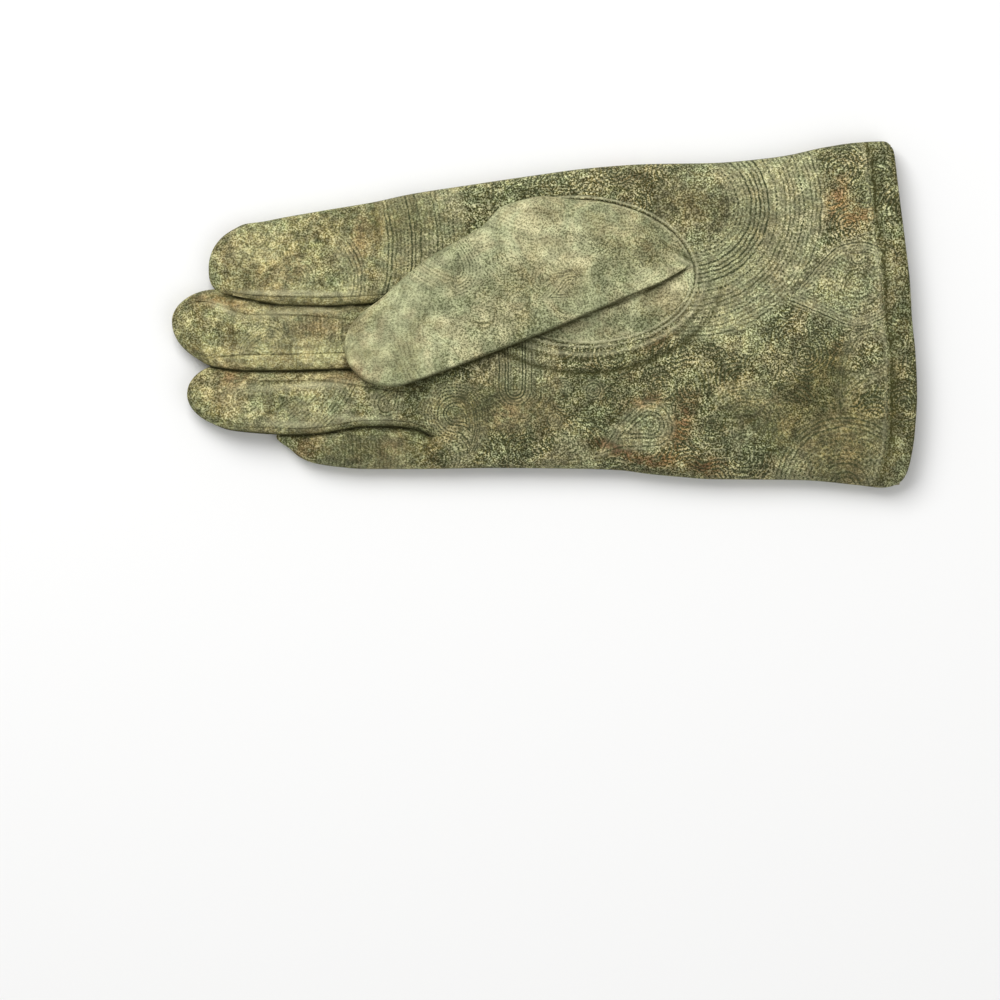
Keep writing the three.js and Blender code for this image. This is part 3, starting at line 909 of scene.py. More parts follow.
def hand_piece(number):
    """The sheet of one piece of the hand: the trank is number 0, and the slits' fourchettes follow."""
    bm = bmesh.new()
    owners = bm.faces.layers.int.new("owner")
    for finger in HAND:
        for layout, upper in ((PALM_SIDE, True), (BACK_SIDE, False)):
            points = sheet_points(finger, layout, upper)
            owner = strip_owner(finger, layout, points)
            columns = points.shape[1]
            place = {vert: divmod(index, columns) for index, vert in enumerate(add_grid(bm, points))}
            for face in {face for vert in place for face in vert.link_faces}:
                i = min(place[vert][0] for vert in face.verts)
                j = min(place[vert][1] for vert in face.verts)
                centre = face.calc_center_median() / MM
                in_hole = upper and from_hole(centre.x, centre.y)[0] < 0
                face[owners] = -1 if in_hole else int(owner[i, j])
    close_up(bm, HAND_JOIN)
    gone = [face for face in bm.faces if face[owners] != number]
    bmesh.ops.delete(bm, geom=gone, context="FACES")
    return bm


def fit_hole(bm):
    """Moves the vertices of the open edge in the palm onto the thumb hole's oval."""
    for vert in bm.verts:
        x, y, z = (part / MM for part in vert.co)
        if vert.is_boundary and z >= MIDDLE_HEIGHT:
            away = float(from_hole(x, y)[0])
            if abs(away) <= HOLE_FIT:
                vert.co -= Vector((x - HOLE["x"], y - HOLE["y"], 0)).normalized() * away * MM


def in_thumb_frame(x, y):
    """A plan point in the thumb's frame."""
    return turned(x - THUMB["x"], y - THUMB["y"], THUMB["turn"])


def out_of_thumb_frame(s, t):
    """A point of the thumb's frame in the plan."""
    x, y = turned(s, t, -THUMB["turn"])
    return THUMB["x"] + x, THUMB["y"] + y


def hole_across(s):
    """Where the thumb hole's edge crosses the thumb's frame at s: its high and low t, its two ends and the
    t of its start."""
    angles = np.linspace(0, 2 * math.pi, 721)
    x, y = turned(HOLE["half_length"] * np.cos(angles), HOLE["half_width"] * np.sin(angles), -HOLE["turn"])
    hs, ht = in_thumb_frame(HOLE["x"] + x, HOLE["y"] + y)
    first, last = hs.argmin(), hs.argmax()
    order = np.roll(np.arange(720), -(first % 720))
    ring_s, ring_t = hs[order], ht[order]
    turn = int(np.argmax(ring_s))
    one = np.interp(s, ring_s[: turn + 1], ring_t[: turn + 1])
    other = np.interp(s, ring_s[turn:][::-1], ring_t[turn:][::-1])
    return np.maximum(one, other), np.minimum(one, other), float(hs[first]), float(hs[last]), float(ht[first])


def from_pucker(s, t):
    """The distance past the crest of the small pucker where the thumb's fold runs into the seam."""
    return (s - PINCH["s"] + PINCH["slant"] * (t - PINCH["t"])) * PINCH["sharpness"]


def thumb_relief(s, t):
    """Creases of the thumb, and the small pucker where its fold runs into the seam."""
    pucker = 1.4 * bell(from_pucker(s, t), 1.0) * bell(t - PINCH["t"], 3.0)
    hollow = -0.9 * bell(from_pucker(s, t) - 1.9, 0.9) * bell(t - PINCH["hollow"], 3.0)
    crease = -0.35 * bell(t - 5.0 - (s - 60) * 0.28, 1.8) * bell(s - 52, 15)
    knuckle = -0.5 * bell(s - 20 - t * 0.3, 3.5) * bell(t + 6, 8)
    return pucker + hollow + crease + knuckle


def thumb_rows(hole_end):
    """Where the thumb's rows lie along it: crowded at its tip and at the seam's far end."""
    end = hole_end - 0.02
    tip = THUMB_TIP["s"] + THUMB_TIP["length"] * (1 - np.cos(np.linspace(0, math.pi / 2, TIP_ROWS + 1)))
    last = end - THUMB_END_LENGTH * (1 - np.sin(np.linspace(0, math.pi / 2, THUMB_END_ROWS)))
    count = round((last[0] - tip[-1]) / THUMB_SPACING)
    return np.concatenate([tip[:-1], np.linspace(tip[-1], last[0], count + 1)[:-1], last]), end


def thumb_points():
    """The thumb's sheet as an array of rows along it and columns round it."""
    _high, _low, hole_start, hole_end, start_t = hole_across(np.array([0.0]))
    s, end = thumb_rows(hole_end)
    tip_t = THUMB_TIP["t"]
    share = np.clip((s - THUMB_TIP["s"]) / THUMB_TIP["length"], 0, 1)
    share = (1 - (1 - share) ** THUMB_TIP["square"]) ** (1 / THUMB_TIP["square"])
    inside = smoothstep(hole_start, hole_start + 0.4, s)
    sewn = smoothstep(*THUMB_SEWN, s)
    near_end = smoothstep(THUMB_CLOSES, end, s)

    # The edges across the thumb: its high one, its fold and both sides of the seam
    seam_high, seam_low, *_rest = hole_across(s)
    low = between(tip_t, thumb_line["low"](s), share)
    closing = between(tip_t, start_t, smoothstep(0, 30, s))
    from_t, to_t = between(closing, seam_high, inside), between(closing, seam_low, inside)
    high = between(between(tip_t, thumb_line["high"](s), share), np.maximum(seam_high, low + 0.02), sewn)
    fold = np.where(s > 80, np.maximum(low, seam_low + 0.01), low)
    high = np.maximum(high, fold + 0.01)

    # Their heights
    rest_z = between(THUMB_UNDER, THUMB_SEAM, inside)
    nose_high = between(THUMB_UNDER + HIGH_NOSE, THUMB_SEAM, sewn)
    nose_low = THUMB_UNDER + between(HIGH_NOSE, FOLD_NOSE, smoothstep(*FOLD_RISES, s))
    nose_fold = between(nose_low, THUMB_SEAM, near_end)

    # From here on each edge is a column, and the sheet runs round the thumb from one to the next
    edges = (from_t, to_t, high, fold, rest_z, nose_high, nose_fold, sewn, near_end)
    from_t, to_t, high, fold, rest_z, nose_high, nose_fold, sewn, near_end = (edge[:, None] for edge in edges)
    counts = THUMB_COLUMNS

    under = np.linspace(0, 1, counts["under"] + 1)[:-1]
    under_t = between(from_t, high, under)
    under_z = between(rest_z, nose_high, 1 - np.sqrt(1 - under**2))

    even = np.linspace(0, 1, counts["upper"] + 1)
    crowded = between(even, 0.5 - 0.5 * np.cos(math.pi * even), THUMB_CROWDING)
    upper_t = between(high, fold, crowded)
    upper_s = np.repeat(s[:, None], len(crowded), 1)
    to_high = distance_to(upper_s, upper_t, np.column_stack([s, high]))
    to_fold = distance_to(upper_s, upper_t, np.column_stack([s, fold]))
    edge_z = between(nose_high, nose_fold, crowded)
    rise = (thumb_line["crown"](s)[:, None] - edge_z) * (1 - CROWN_FALLS * smoothstep(0.3, 1.0, crowded))
    upper_z = edge_z + rise * swell(to_high, between(*HIGH_ROUNDING, sewn)) * swell(to_fold, FOLD_RADIUS)
    upper_x, upper_y = out_of_thumb_frame(upper_s, upper_t)
    upper_z += swell(np.minimum(to_high, to_fold), 5.0) * waves(upper_x, upper_y, THUMB_WAVES)
    upper_z += thumb_relief(upper_s, upper_t) * swell(to_fold, 2.0)

    ramp = smoothstep(hole_start, 60, s)[:, None]
    pleat_t = between((fold + to_t) / 2, fold + PLEAT * (1 - near_end), ramp)
    pleat_z = between(rest_z, nose_fold, PLEAT_RISE * ramp)
    back = np.linspace(0, 1, counts["pleat"] + 1)[1:-1]
    back_t = between(fold, pleat_t, back)
    back_z = between(nose_fold, pleat_z, np.sqrt(1 - (1 - back) ** 2))

    out = np.linspace(0, 1, counts["gusset"] + 1)
    arch = np.sin(math.pi * out)
    out_t = between(pleat_t, to_t, out)
    out_z = between(pleat_z, rest_z, smoothstep(0, 0.8, out)) + GUSSET_ARCH * arch * ramp * (1 - near_end)
    gusset_x, gusset_y = out_of_thumb_frame(np.repeat(s[:, None], len(out), 1), out_t)
    out_z += waves(gusset_x, gusset_y, GUSSET_WAVES) * arch

    t = np.concatenate([under_t, upper_t, back_t, out_t], 1)
    z = np.concatenate([under_z, upper_z, back_z, out_z], 1)
    x, y = out_of_thumb_frame(np.repeat(s[:, None], t.shape[1], 1), t)
    return np.stack([x, y, z], 2)


def drop_distance(along, across, taper, curl):
    """How far out a point lies in a nest of drops, whose tail runs along and is bent by the curl."""
    radius = np.hypot(along, across)
    straight, aside = turned(along, across, curl * radius)
    aside = np.abs(aside)
    slope = math.sqrt(1 - taper * taper)
    return np.where(straight * slope > aside * taper, aside * slope + straight * taper, radius)


def motif_weight(motif, dx, dy, along, reach, y):
    """How strongly a motif shows at each point, with soft edges."""
    inner, outer = motif["inner"], motif["outer"]
    edge = min(MOTIF_SOFT, outer / 5)
    weight = smoothstep(inner - edge, inner + edge / 2, reach) if inner else 1.0
    weight = motif["ink"] * weight * smoothstep(outer + edge / 2, outer - edge / 2, reach)
    if motif["taper"] < 1:
        weight = weight * smoothstep(*TAIL_ENDS, along)
    if "facing" in motif:
        middle, spread = (math.radians(angle) for angle in motif["facing"])
        off = np.abs((np.arctan2(dy, dx) - middle + math.pi) % (2 * math.pi) - math.pi)
        weight = weight * smoothstep(spread + FACING_SOFT, spread - FACING_SOFT, off)
    low, high = motif.get("strip", EVERYWHERE)
    weight = weight * smoothstep(low - STRIP_SOFT, low + STRIP_SOFT, y)
    return weight * smoothstep(high + STRIP_SOFT, high - STRIP_SOFT, y)


def print_field(x, y, motifs):
    """The print at each point: its place in the motif, counted in lines, the tail's curl, and the ink."""
    best, second, curls = np.zeros((3, len(x)))
    whorl = np.tile((0.0, 0.0, 1.0), (len(x), 1))
    for motif in motifs:
        dx, dy = x - motif["x"], y - motif["y"]
        along, across = turned(dx, dy, math.radians(motif["turn"]))
        curl = math.radians(motif["curl"])
        reach = drop_distance(along, across, motif["taper"], curl)
        weight = motif_weight(motif, dx, dy, along, reach, y)
        stronger = weight > best
        second = np.where(stronger, best, np.maximum(second, weight))
        best = np.where(stronger, weight, best)
        spacing = motif["spacing"]
        place = np.stack([along / spacing, across / spacing, np.full(len(x), motif["taper"])], 1)
        whorl = np.where(stronger[:, None], place, whorl)
        curls = np.where(stronger, curl * spacing, curls)
    return whorl, curls, best * smoothstep(0, FULL_LEAD, best - second)


def patch_field(x, y, kind):
    """How strongly the patches of one kind show at each point."""
    return np.clip(sum(patch[kind] * mound(x, y, patch) for patch in PATCHES if patch[kind]), -1, 1)


def painted_shade_and_dirt_field(x, y, z):
    """Painted shade and dirt, where little light comes: grooves, slits and the edge of the thumb's fold."""
    palm_side = z > MIDDLE_HEIGHT
    sewn = 0.85 + 0.15 * np.sin(2 * math.pi * y / PUCKERS["length"])
    # Painted shade and dirt along the hem's sewn line, and painted shade at the cuff's edge
    dark = PAINTED_SHADE_AND_DIRT["seam"] * sewn * bell(from_hem_seam(x, y) + 1.4, 1.2)
    dark += PAINTED_SHADE_AND_DIRT["cuff"] * bell(cuff_end(y) - x, 1.4)
    away, one_side = from_hole(x, y)
    # Painted shade and dirt in the thumb hole's grooves
    for ridge in HOLE_RIDGES:
        if ridge["height"] < 0:
            strength = (1 - ridge["one_side"] * (1 - one_side)) * palm_side * (z < HAND_TOP)
            depth = -PAINTED_SHADE_AND_DIRT["groove"] * ridge["height"]
            dark += strength * depth * bell(away - ridge["away"], ridge["width"])
    # Painted shade in the slits between the fingers
    for slit, finger in zip(SLITS, FINGERS):
        beside = slit["upper_edge"](x) - y
        along = smoothstep(*SLIT_SHADE_STARTS, x - finger["x"])
        along = along * (1 - smoothstep(*SLIT_SHADE_ENDS, x - slit["crotch"]))
        along = along * palm_side * (z < SLIT_TOP)
        dark += PAINTED_SHADE_AND_DIRT["slit"] * along * bell(beside, np.where(beside > 0, 0.6, 0.4))
    # Painted shadow under the thumb's fold, and painted shade behind its pucker
    s, t = in_thumb_frame(x, y)
    below = thumb_line["low"](s) - t
    fold = smoothstep(*FOLD_SHADE_STARTS, s) * (1 - smoothstep(*FOLD_SHADE_ENDS, s)) * bell(below, 0.7)
    dark += PAINTED_SHADE_AND_DIRT["fold"] * fold * smoothstep(-0.6, 0.0, below) * palm_side
    behind = bell(from_pucker(s, t) - 1.5, 0.8) * bell(t - PINCH["hollow"], 2.6)
    dark += PAINTED_SHADE_AND_DIRT["pucker"] * behind * palm_side
    return np.clip(dark, 0, 1)


def wear_and_highlight_field(x, y, z):
    """Where the nap is painted pale, as wear and as painted highlights: the crests beside the thumb hole, the
    pucker and the palm's ridges.
    """
    away, one_side = from_hole(x, y)
    s, t = in_thumb_frame(x, y)
    pinch = bell(from_pucker(s, t), 0.7) * bell(t - PINCH["t"], 2.6)
    crest = CREST_WEAR_AND_HIGHLIGHT["worn"] * one_side * bell(away - CREST_WEAR_AND_HIGHLIGHT["away"], CREST_WEAR_AND_HIGHLIGHT["width"]) + pinch
    for dent in DENTS:
        crest += dent.get("worn", 0) * mound(x, y, dent)
    return np.clip(crest, 0, 1) * (z > MIDDLE_HEIGHT) * ((z < HAND_TOP) | (pinch > 0.05))


def write_attribute(mesh, name, values):
    """A number or a vector for each vertex, which the material reads by name."""
    values = np.asarray(values, np.float32)
    kind, field = ("FLOAT_VECTOR", "vector") if values.ndim > 1 else ("FLOAT", "value")
    layer = mesh.attributes.new(name, kind, "POINT")
    layer.data.foreach_set(field, values.ravel())


def paint(mesh, motifs, sewn, dimming):
    """Writes the print, patches, seams, wear, painted shade and painted highlights of a piece to its
    vertices, some of which are sewn.
    """
    co = np.empty(len(mesh.vertices) * 3)
    mesh.vertices.foreach_get("co", co)
    x, y, z = (co.reshape(-1, 3) / MM).T
    palm_side = z > MIDDLE_HEIGHT
    print_y = np.where(palm_side, y, BACK_PRINT - y)
    whorl, curls, ink = print_field(x, print_y, motifs)
    on_hem = smoothstep(*HEM_FADES, cuff_end(y) - x)
    finger_seams = FINGER_SEAMS_DARK * np.array(sewn) * (x < FINGER_SEAMS_END)
    away, _one_side = from_hole(x, y)
    rim = np.where(palm_side, np.where(z < HAND_TOP, away, HIDDEN_RIM), -HIDDEN_RIM)
    write_attribute(mesh, "whorl", whorl)
    write_attribute(mesh, "curl", curls)
    write_attribute(mesh, "ink", ink * dimming * (1 - HEM_FAINT * on_hem))
    for kind in ("tone", "tan", "red"):
        write_attribute(mesh, kind, patch_field(x, print_y, kind))
    # The crease attribute holds painted shade and dirt, and the fingers' dark seams
    write_attribute(mesh, "crease", np.maximum(painted_shade_and_dirt_field(x, y, z), finger_seams))
    write_attribute(mesh, "hem", from_hem_seam(x, y))
    write_attribute(mesh, "rim", rim)
    # The wear attribute holds wear and painted highlights
    write_attribute(mesh, "wear", wear_and_highlight_field(x, y, z))


def finish_piece(node, bm, thickness, motifs, materials, dimming=1.0):
    """Gives a sheet its thickness, materials, print and place in the frame."""
    name = node + "_leather"
    mesh = bpy.data.meshes.new(name)
    sewn = [vert.is_boundary for vert in bm.verts]
    bm.to_mesh(mesh)
    bm.free()
    sheet = bpy.data.objects.new(name, mesh)
    bpy.context.scene.collection.objects.link(sheet)
    for material in materials:
        mesh.materials.append(material)
    paint(mesh, motifs, sewn, dimming)
    wall = sheet.modifiers.new("leather", "SOLIDIFY")
    wall.thickness = thickness
    wall.offset = -1
    wall.use_even_offset = False
    wall.material_offset = len(materials) - 1
    wall.material_offset_rim = 0
    bpy.context.view_layer.update()
    solid = bpy.data.meshes.new_from_object(sheet.evaluated_get(bpy.context.evaluated_depsgraph_get()))
    sheet.modifiers.clear()
    sheet.data = solid
    bpy.data.meshes.remove(mesh)
    solid.name = name
    solid.shade_smooth()
    solid.set_sharp_from_angle(angle=SHARP_BEND)
    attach(sheet, "root")
    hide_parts(node)


def new_node(tree, kind, inputs, **settings):
    """A shader node, its inputs given as plain values or as the values that feed them."""
    made = tree.nodes.new(kind)
    for name, setting in settings.items():
        setattr(made, name, setting)
    for key, given in inputs.items():
        if isinstance(given, Value):
            tree.links.new(given.socket, made.inputs[key])
        else:
            made.inputs[key].default_value = given
    return made


def sum_node(operation, first, second=0.0, clamp=False):
    """One step of arithmetic, in which at least one side is a value."""
    tree = (first if isinstance(first, Value) else second).socket.id_data
    made = new_node(tree, "ShaderNodeMath", {0: first, 1: second}, operation=operation, use_clamp=clamp)
    return Value(made.outputs[0])


class Value:
    """The output of a shader node. Arithmetic with it adds the nodes that work it out."""

    def __init__(self, socket):
        self.socket = socket

    def __add__(self, other):
        return sum_node("ADD", self, other)

    def __sub__(self, other):
        return sum_node("SUBTRACT", self, other)

    def __rsub__(self, other):
        return sum_node("SUBTRACT", other, self)

    def __mul__(self, other):
        return sum_node("MULTIPLY", self, other)

    def held(self, share):
        """The product with a share, kept between 0 and 1."""
        return sum_node("MULTIPLY", self, share, clamp=True)

    def ranged(self, low, high, to_low=0.0, to_high=1.0):
        """The value spread smoothly from one range to another."""
        inputs = {"Value": self, "From Min": low, "From Max": high, "To Min": to_low, "To Max": to_high}
        made = new_node(self.socket.id_data, "ShaderNodeMapRange", inputs, interpolation_type="SMOOTHSTEP")
        return Value(made.outputs[0])

    def stripe(self, middle, half_width):
        """A soft line where the value is near its middle."""
        return sum_node("ABSOLUTE", self - middle).ranged(0.0, half_width, 1.0, 0.0)


class Surface:
    """A material in the making, whose textures lie on the glove's own coordinates."""

    def __init__(self, name):
        self.material = bpy.data.materials.new(name)
        self.material.use_nodes = True
        self.tree = self.material.node_tree
        self.tree.nodes.clear()
        self.place = self.add("ShaderNodeTexCoord", {}, "Object")

    def add(self, kind, inputs, output=0, **settings):
        """The output of a new node."""
        return Value(new_node(self.tree, kind, inputs, **settings).outputs[output])

    def grain(self, size, detail=2.0, rough=0.6, distortion=0.0, place=None, output="Fac"):
        """Noise whose patches are about a size in millimetres across."""
        inputs = {"Vector": place or self.place, "Scale": 1 / (size * MM), "Detail": detail}
        return self.add("ShaderNodeTexNoise", inputs | {"Roughness": rough, "Distortion": distortion}, output)

    def attribute(self, name, output="Fac"):
        """A number or a vector written on the piece's vertices."""
        return self.add("ShaderNodeAttribute", {}, output, attribute_name=name)

    def parts(self, vector):
        """The three numbers of a vector."""
        return [Value(part) for part in new_node(self.tree, "ShaderNodeSeparateXYZ", {0: vector}).outputs]

    def chance(self, number):
        """A random share that stays the same for each whole number."""
        return self.add("ShaderNodeTexWhiteNoise", {"W": number}, "Value", noise_dimensions="1D")

    def mixed(self, share, first, second, blend="MIX"):
        """Two colours mixed by a share."""
        pair = [given if isinstance(given, Value) else (*given, 1.0) for given in (first, second)]
        inputs = {0: share, 6: pair[0], 7: pair[1]}
        return self.add("ShaderNodeMix", inputs, 2, data_type="RGBA", blend_type=blend)

    def finished(self, tone, rough, height, bump, gloss):
        """The material, whose bump has a strength and a depth in millimetres. Gloss is more of its values."""
        strength, depth = bump
        relief = self.add("ShaderNodeBump", {"Strength": strength, "Distance": depth * MM, "Height": height})
        inputs = {"Base Color": tone, "Roughness": rough, "Normal": relief} | gloss
        surface = self.add("ShaderNodeBsdfPrincipled", inputs)
        new_node(self.tree, "ShaderNodeOutputMaterial", {"Surface": surface})
        return self.material


def seam_shade_and_highlights(skin):
    """Painted shade on the sewn lines of the hem and the thumb hole, and painted highlights on the crests
    beside them.
    """
    uneven = skin.grain(1.8) - 0.5
    rim = skin.attribute("rim") + uneven * 0.8
    hem = skin.attribute("hem") + uneven * 2.4
    kept = skin.grain(3.2).ranged(0.38, 0.5, 0.45, 1.0)
    dark = rim.stripe(0.1, 0.5) * 0.45 + hem.stripe(-0.7, 0.9)
    pale = rim.stripe(0.85, 0.6) + rim.stripe(-0.75, 0.5) + hem.stripe(1.3, 1.0) * 0.3
    return dark * kept, pale.held(kept)


def printed_lines(skin):
    """The print's dark lines, from 0 to 1: nested drops, whose lines vary and partly break into dashes."""
    along, across, taper = skin.parts(skin.attribute("whorl", "Vector"))
    radius = sum_node("SQRT", along * along + across * across)
    angle = radius * skin.attribute("curl") * -1.0
    cos, sin = sum_node("COSINE", angle), sum_node("SINE", angle)
    straight = along * cos - across * sin
    aside = sum_node("ABSOLUTE", along * sin + across * cos)
    slope = sum_node("SQRT", sum_node("SUBTRACT", 1.0, taper * taper, clamp=True))
    on_tail = sum_node("GREATER_THAN", straight * slope, aside * taper)
    count = (aside * slope + straight * taper) * on_tail + radius * (1.0 - on_tail)
    count = count + (skin.grain(5.0) - 0.5) * 1.1
    number = sum_node("FLOOR", count)
    line = sum_node("COSINE", (count - 0.5) * (2 * math.pi)).ranged(-0.2, 0.8)
    strength = skin.chance(number).ranged(0.0, 0.8, 0.4, 1.0)
    group = sum_node("FLOOR", sum_node("DIVIDE", number, LINES_IN_GROUP))
    beads = sum_node("ARCTAN2", aside, straight) * (group * 21.0) + number * 2.2
    dashes = sum_node("SINE", beads).ranged(-0.5, 0.4, 0.2, 1.0)
    dashed = sum_node("GREATER_THAN", skin.chance(group), 0.6)
    kept = dashes * dashed + (1.0 - dashed)
    faded = skin.grain(*NOISES["faded print"]).ranged(0.38, 0.52, 0.55, 1.0)
    return line * strength * (kept * faded)


def filigree(skin):
    """The faint small scrolls that fill the print's ground: rings round scattered points, here and there."""
    flat = skin.add("ShaderNodeMapping", {"Vector": skin.place, "Scale": (1.0, 1.0, 0.0)})
    sway = skin.grain(6.0, rough=0.5, place=flat, output="Color")
    sway = skin.add("ShaderNodeVectorMath", {0: sway, "Scale": 3.0 * MM}, operation="SCALE")
    bent = skin.add("ShaderNodeVectorMath", {0: flat, 1: sway}, operation="ADD")
    inputs = {"Vector": bent, "Scale": 1 / (SCROLL_SIZE * MM)}
    distance = skin.add("ShaderNodeTexVoronoi", inputs, "Distance", voronoi_dimensions="2D")
    rings = sum_node("COSINE", distance * (2 * math.pi * SCROLL_SIZE / SCROLL_RING))
    return rings.ranged(-0.3, 0.8) * skin.grain(9.0).ranged(0.38, 0.56, 0.3, 1.0)


def suede_ground(skin, colours, light, dark, contrast):
    """The suede's colour below its grain and print, its soft clouds, and where it is dark or stained."""
    patch = skin.attribute("tone")
    patches = patch * 0.26 + skin.grain(*NOISES["patches"])
    tone = skin.mixed(patches.ranged(0.38, 0.64), dark, light)
    clouds = skin.grain(*NOISES["clouds"])
    tone = skin.mixed(clouds.ranged(0.42, 0.6, 0.0, COVER["clouds"] * contrast**2), tone, colours.moss)
    deep = patch.ranged(-1.0, -0.1, COVER["deep"], 0.0)
    tone = skin.mixed(deep, tone, colours.shadow)
    tone = skin.mixed(skin.attribute("tan").held(COVER["tan"]), tone, colours.tan)
    stains = skin.attribute("red") * skin.grain(*NOISES["stains"]).ranged(0.3, 0.55)
    tone = skin.mixed(stains.held(COVER["stains"]), tone, colours.rust)
    browner = skin.grain(*NOISES["browner"]).ranged(0.48, 0.62, 0.0, COVER["browner"] * contrast)
    tone = skin.mixed(browner, tone, colours.umber)
    specks = skin.grain(*NOISES["specks"]).ranged(0.62, 0.72, 0.0, COVER["specks"] * contrast)
    return skin.mixed(specks, tone, colours.shadow), clouds, deep, stains


def suede(name, colours, light, dark, ink_strength, contrast, cloud_size):
    """Printed suede: two tones in patches, a mottled grain, printed lines, and a nap that scatters light."""
    skin = Surface(name)
    tone, clouds, deep, stains = suede_ground(skin, colours, light, dark, contrast)
    printed = skin.attribute("ink")
    along = skin.parts(skin.place)[0]

    # The grain: dark pores and light fibres, calmer on the fingers, on pale patches and under the print
    calm = skin.attribute("tone").ranged(0.25, 1.0, 1.0, 0.5) * printed.ranged(0.0, 1.0, 1.0, 0.6)
    strength = along.ranged(*FINGER_CALM, 0.7, 1.0) * contrast
    fine = skin.grain(*NOISES["fibres"])
    mottle = skin.grain(*NOISES["pores"]) * 0.16 + fine * 0.84
    tone = skin.mixed(mottle.ranged(0.415, 0.5, 1.0, 0.0) * strength * calm, tone, colours.shadow)
    bright = mottle.ranged(0.5, 0.59, 0.0, COVER["nap"]) * strength * (1.0 - deep)
    tone = skin.mixed(bright * stains.ranged(0.0, 0.7, 1.0, 0.4), tone, colours.nap)

    # Blotches of tone and tints over the grain
    cloudy, mottled = 0.28 * contrast**2, 0.32 * contrast
    blotches = skin.grain(cloud_size, 3.0, 0.55, 0.5).ranged(0.38, 0.62, 1 - cloudy, 1 + cloudy)
    mottles = skin.grain(cloud_size / 3).ranged(0.38, 0.62, 1 - mottled, 1 + mottled)
    tone = skin.mixed(1.0, tone, blotches * mottles, "MULTIPLY")
    tint = skin.mixed(skin.grain(*NOISES["tints"]).ranged(0.4, 0.6), GREEN_TINT, BROWN_TINT)
    tint = skin.mixed(stains.held(1.0), tint, STAIN_TINT)
    tone = skin.mixed(1.0, tone, tint, "MULTIPLY")

    # The print, whose lines leave the suede between them paler
    lines = printed_lines(skin)
    scrolls = filigree(skin) * printed.ranged(0.0, 0.25, 0.8 * contrast, 0.0)
    scrolls = scrolls * along.ranged(*FINGER_CALM, 0.3, 1.0)
    ink = (lines * printed + scrolls) * fine.ranged(0.66, 0.46, 0.6, 1.0)
    gap = (1.0 - lines) * printed * (0.9 - deep)
    tone = skin.mixed(gap.held(COVER["gaps"]), tone, colours.nap)
    tone = skin.mixed(ink * ink_strength, tone, colours.ink)

    # Worn crests with painted highlights, the seams' painted shade and highlights, and painted shade and dirt
    seam_shade, seam_highlight = seam_shade_and_highlights(skin)
    tone = skin.mixed((skin.attribute("wear") + seam_highlight).held(COVER["worn"]), tone, colours.nap)
    painted_shade_and_dirt = sum_node("MAXIMUM", skin.attribute("crease"), seam_shade)
    tone = skin.mixed(painted_shade_and_dirt.held(COVER["painted_shade_and_dirt"]), tone, colours.shadow)
    height = mottle + clouds * 0.5 - ink * 0.45
    gloss = {"Specular IOR Level": 0.12, "Sheen Weight": 0.07, "Sheen Roughness": 0.45}
    gloss["Sheen Tint"] = (*colours.nap, 1.0)
    return skin.finished(tone, mottle.ranged(0.3, 0.7, 0.86, 1.0), height, (0.9, 0.45), gloss)


def flesh_side(colours):
    """The unprinted inside of the leather."""
    flesh = Surface("glove_inside")
    fibres = flesh.grain(*NOISES["flesh"])
    tone = flesh.mixed(fibres.ranged(0.35, 0.65), colours.inside, colours.nap)
    gloss = {"Specular IOR Level": 0.2, "Sheen Weight": 0.2}
    return flesh.finished(tone, fibres.ranged(0.3, 0.7, 0.85, 1.0), fibres, (0.5, 0.3), gloss)


def thread_material(colours):
    """Matt sewing thread."""
    thread = Surface("glove_thread")
    ply = thread.grain(0.3)
    tone = thread.mixed(ply.ranged(0.35, 0.65, 0.0, 0.5), colours.thread, colours.moss)
    return thread.finished(tone, ply.ranged(0.3, 0.7, 0.6, 0.8), ply, (0.4, 0.1), {"Specular IOR Level": 0.3})


def leather(name, colours):
    """The materials of a leather's outside and inside, made the first time that they are needed."""
    light, dark, *looks = LEATHERS[name]
    inside = bpy.data.materials.get("glove_inside") or flesh_side(colours)
    outside = bpy.data.materials.get(name)
    if outside is None:
        outside = suede(name, colours, getattr(colours, light), getattr(colours, dark), *looks)
    return outside, inside


def length(name, description, default, low, high):
    """A length that a user may change, given here in millimetres."""
    return FloatProperty(
        name=name, description=description, default=default * MM, min=low * MM, max=high * MM, precision=5,
        unit="LENGTH",
    )


def colour(name, description, default):
    """A colour that a user may change."""
    return FloatVectorProperty(
        name=name, description=description, default=default, subtype="COLOR", size=3, min=0, max=1
    )


class GloveSizes(bpy.types.PropertyGroup):
    """Sizes of the glove's leather and sewing."""

    leather: length("Leather", "Thickness of the hand's suede", 0.95, 0.4, 1.4)
    thumb_leather: length("Thumb leather", "Thickness of the thumb's suede", 0.8, 0.4, 1.2)
    stitch_length: length("Stitch", "Length of one hem stitch", 1.5, 0.5, 4)
    stitch_pitch: length("Pitch", "Distance from one hem stitch to the next", 2.3, 1, 6)


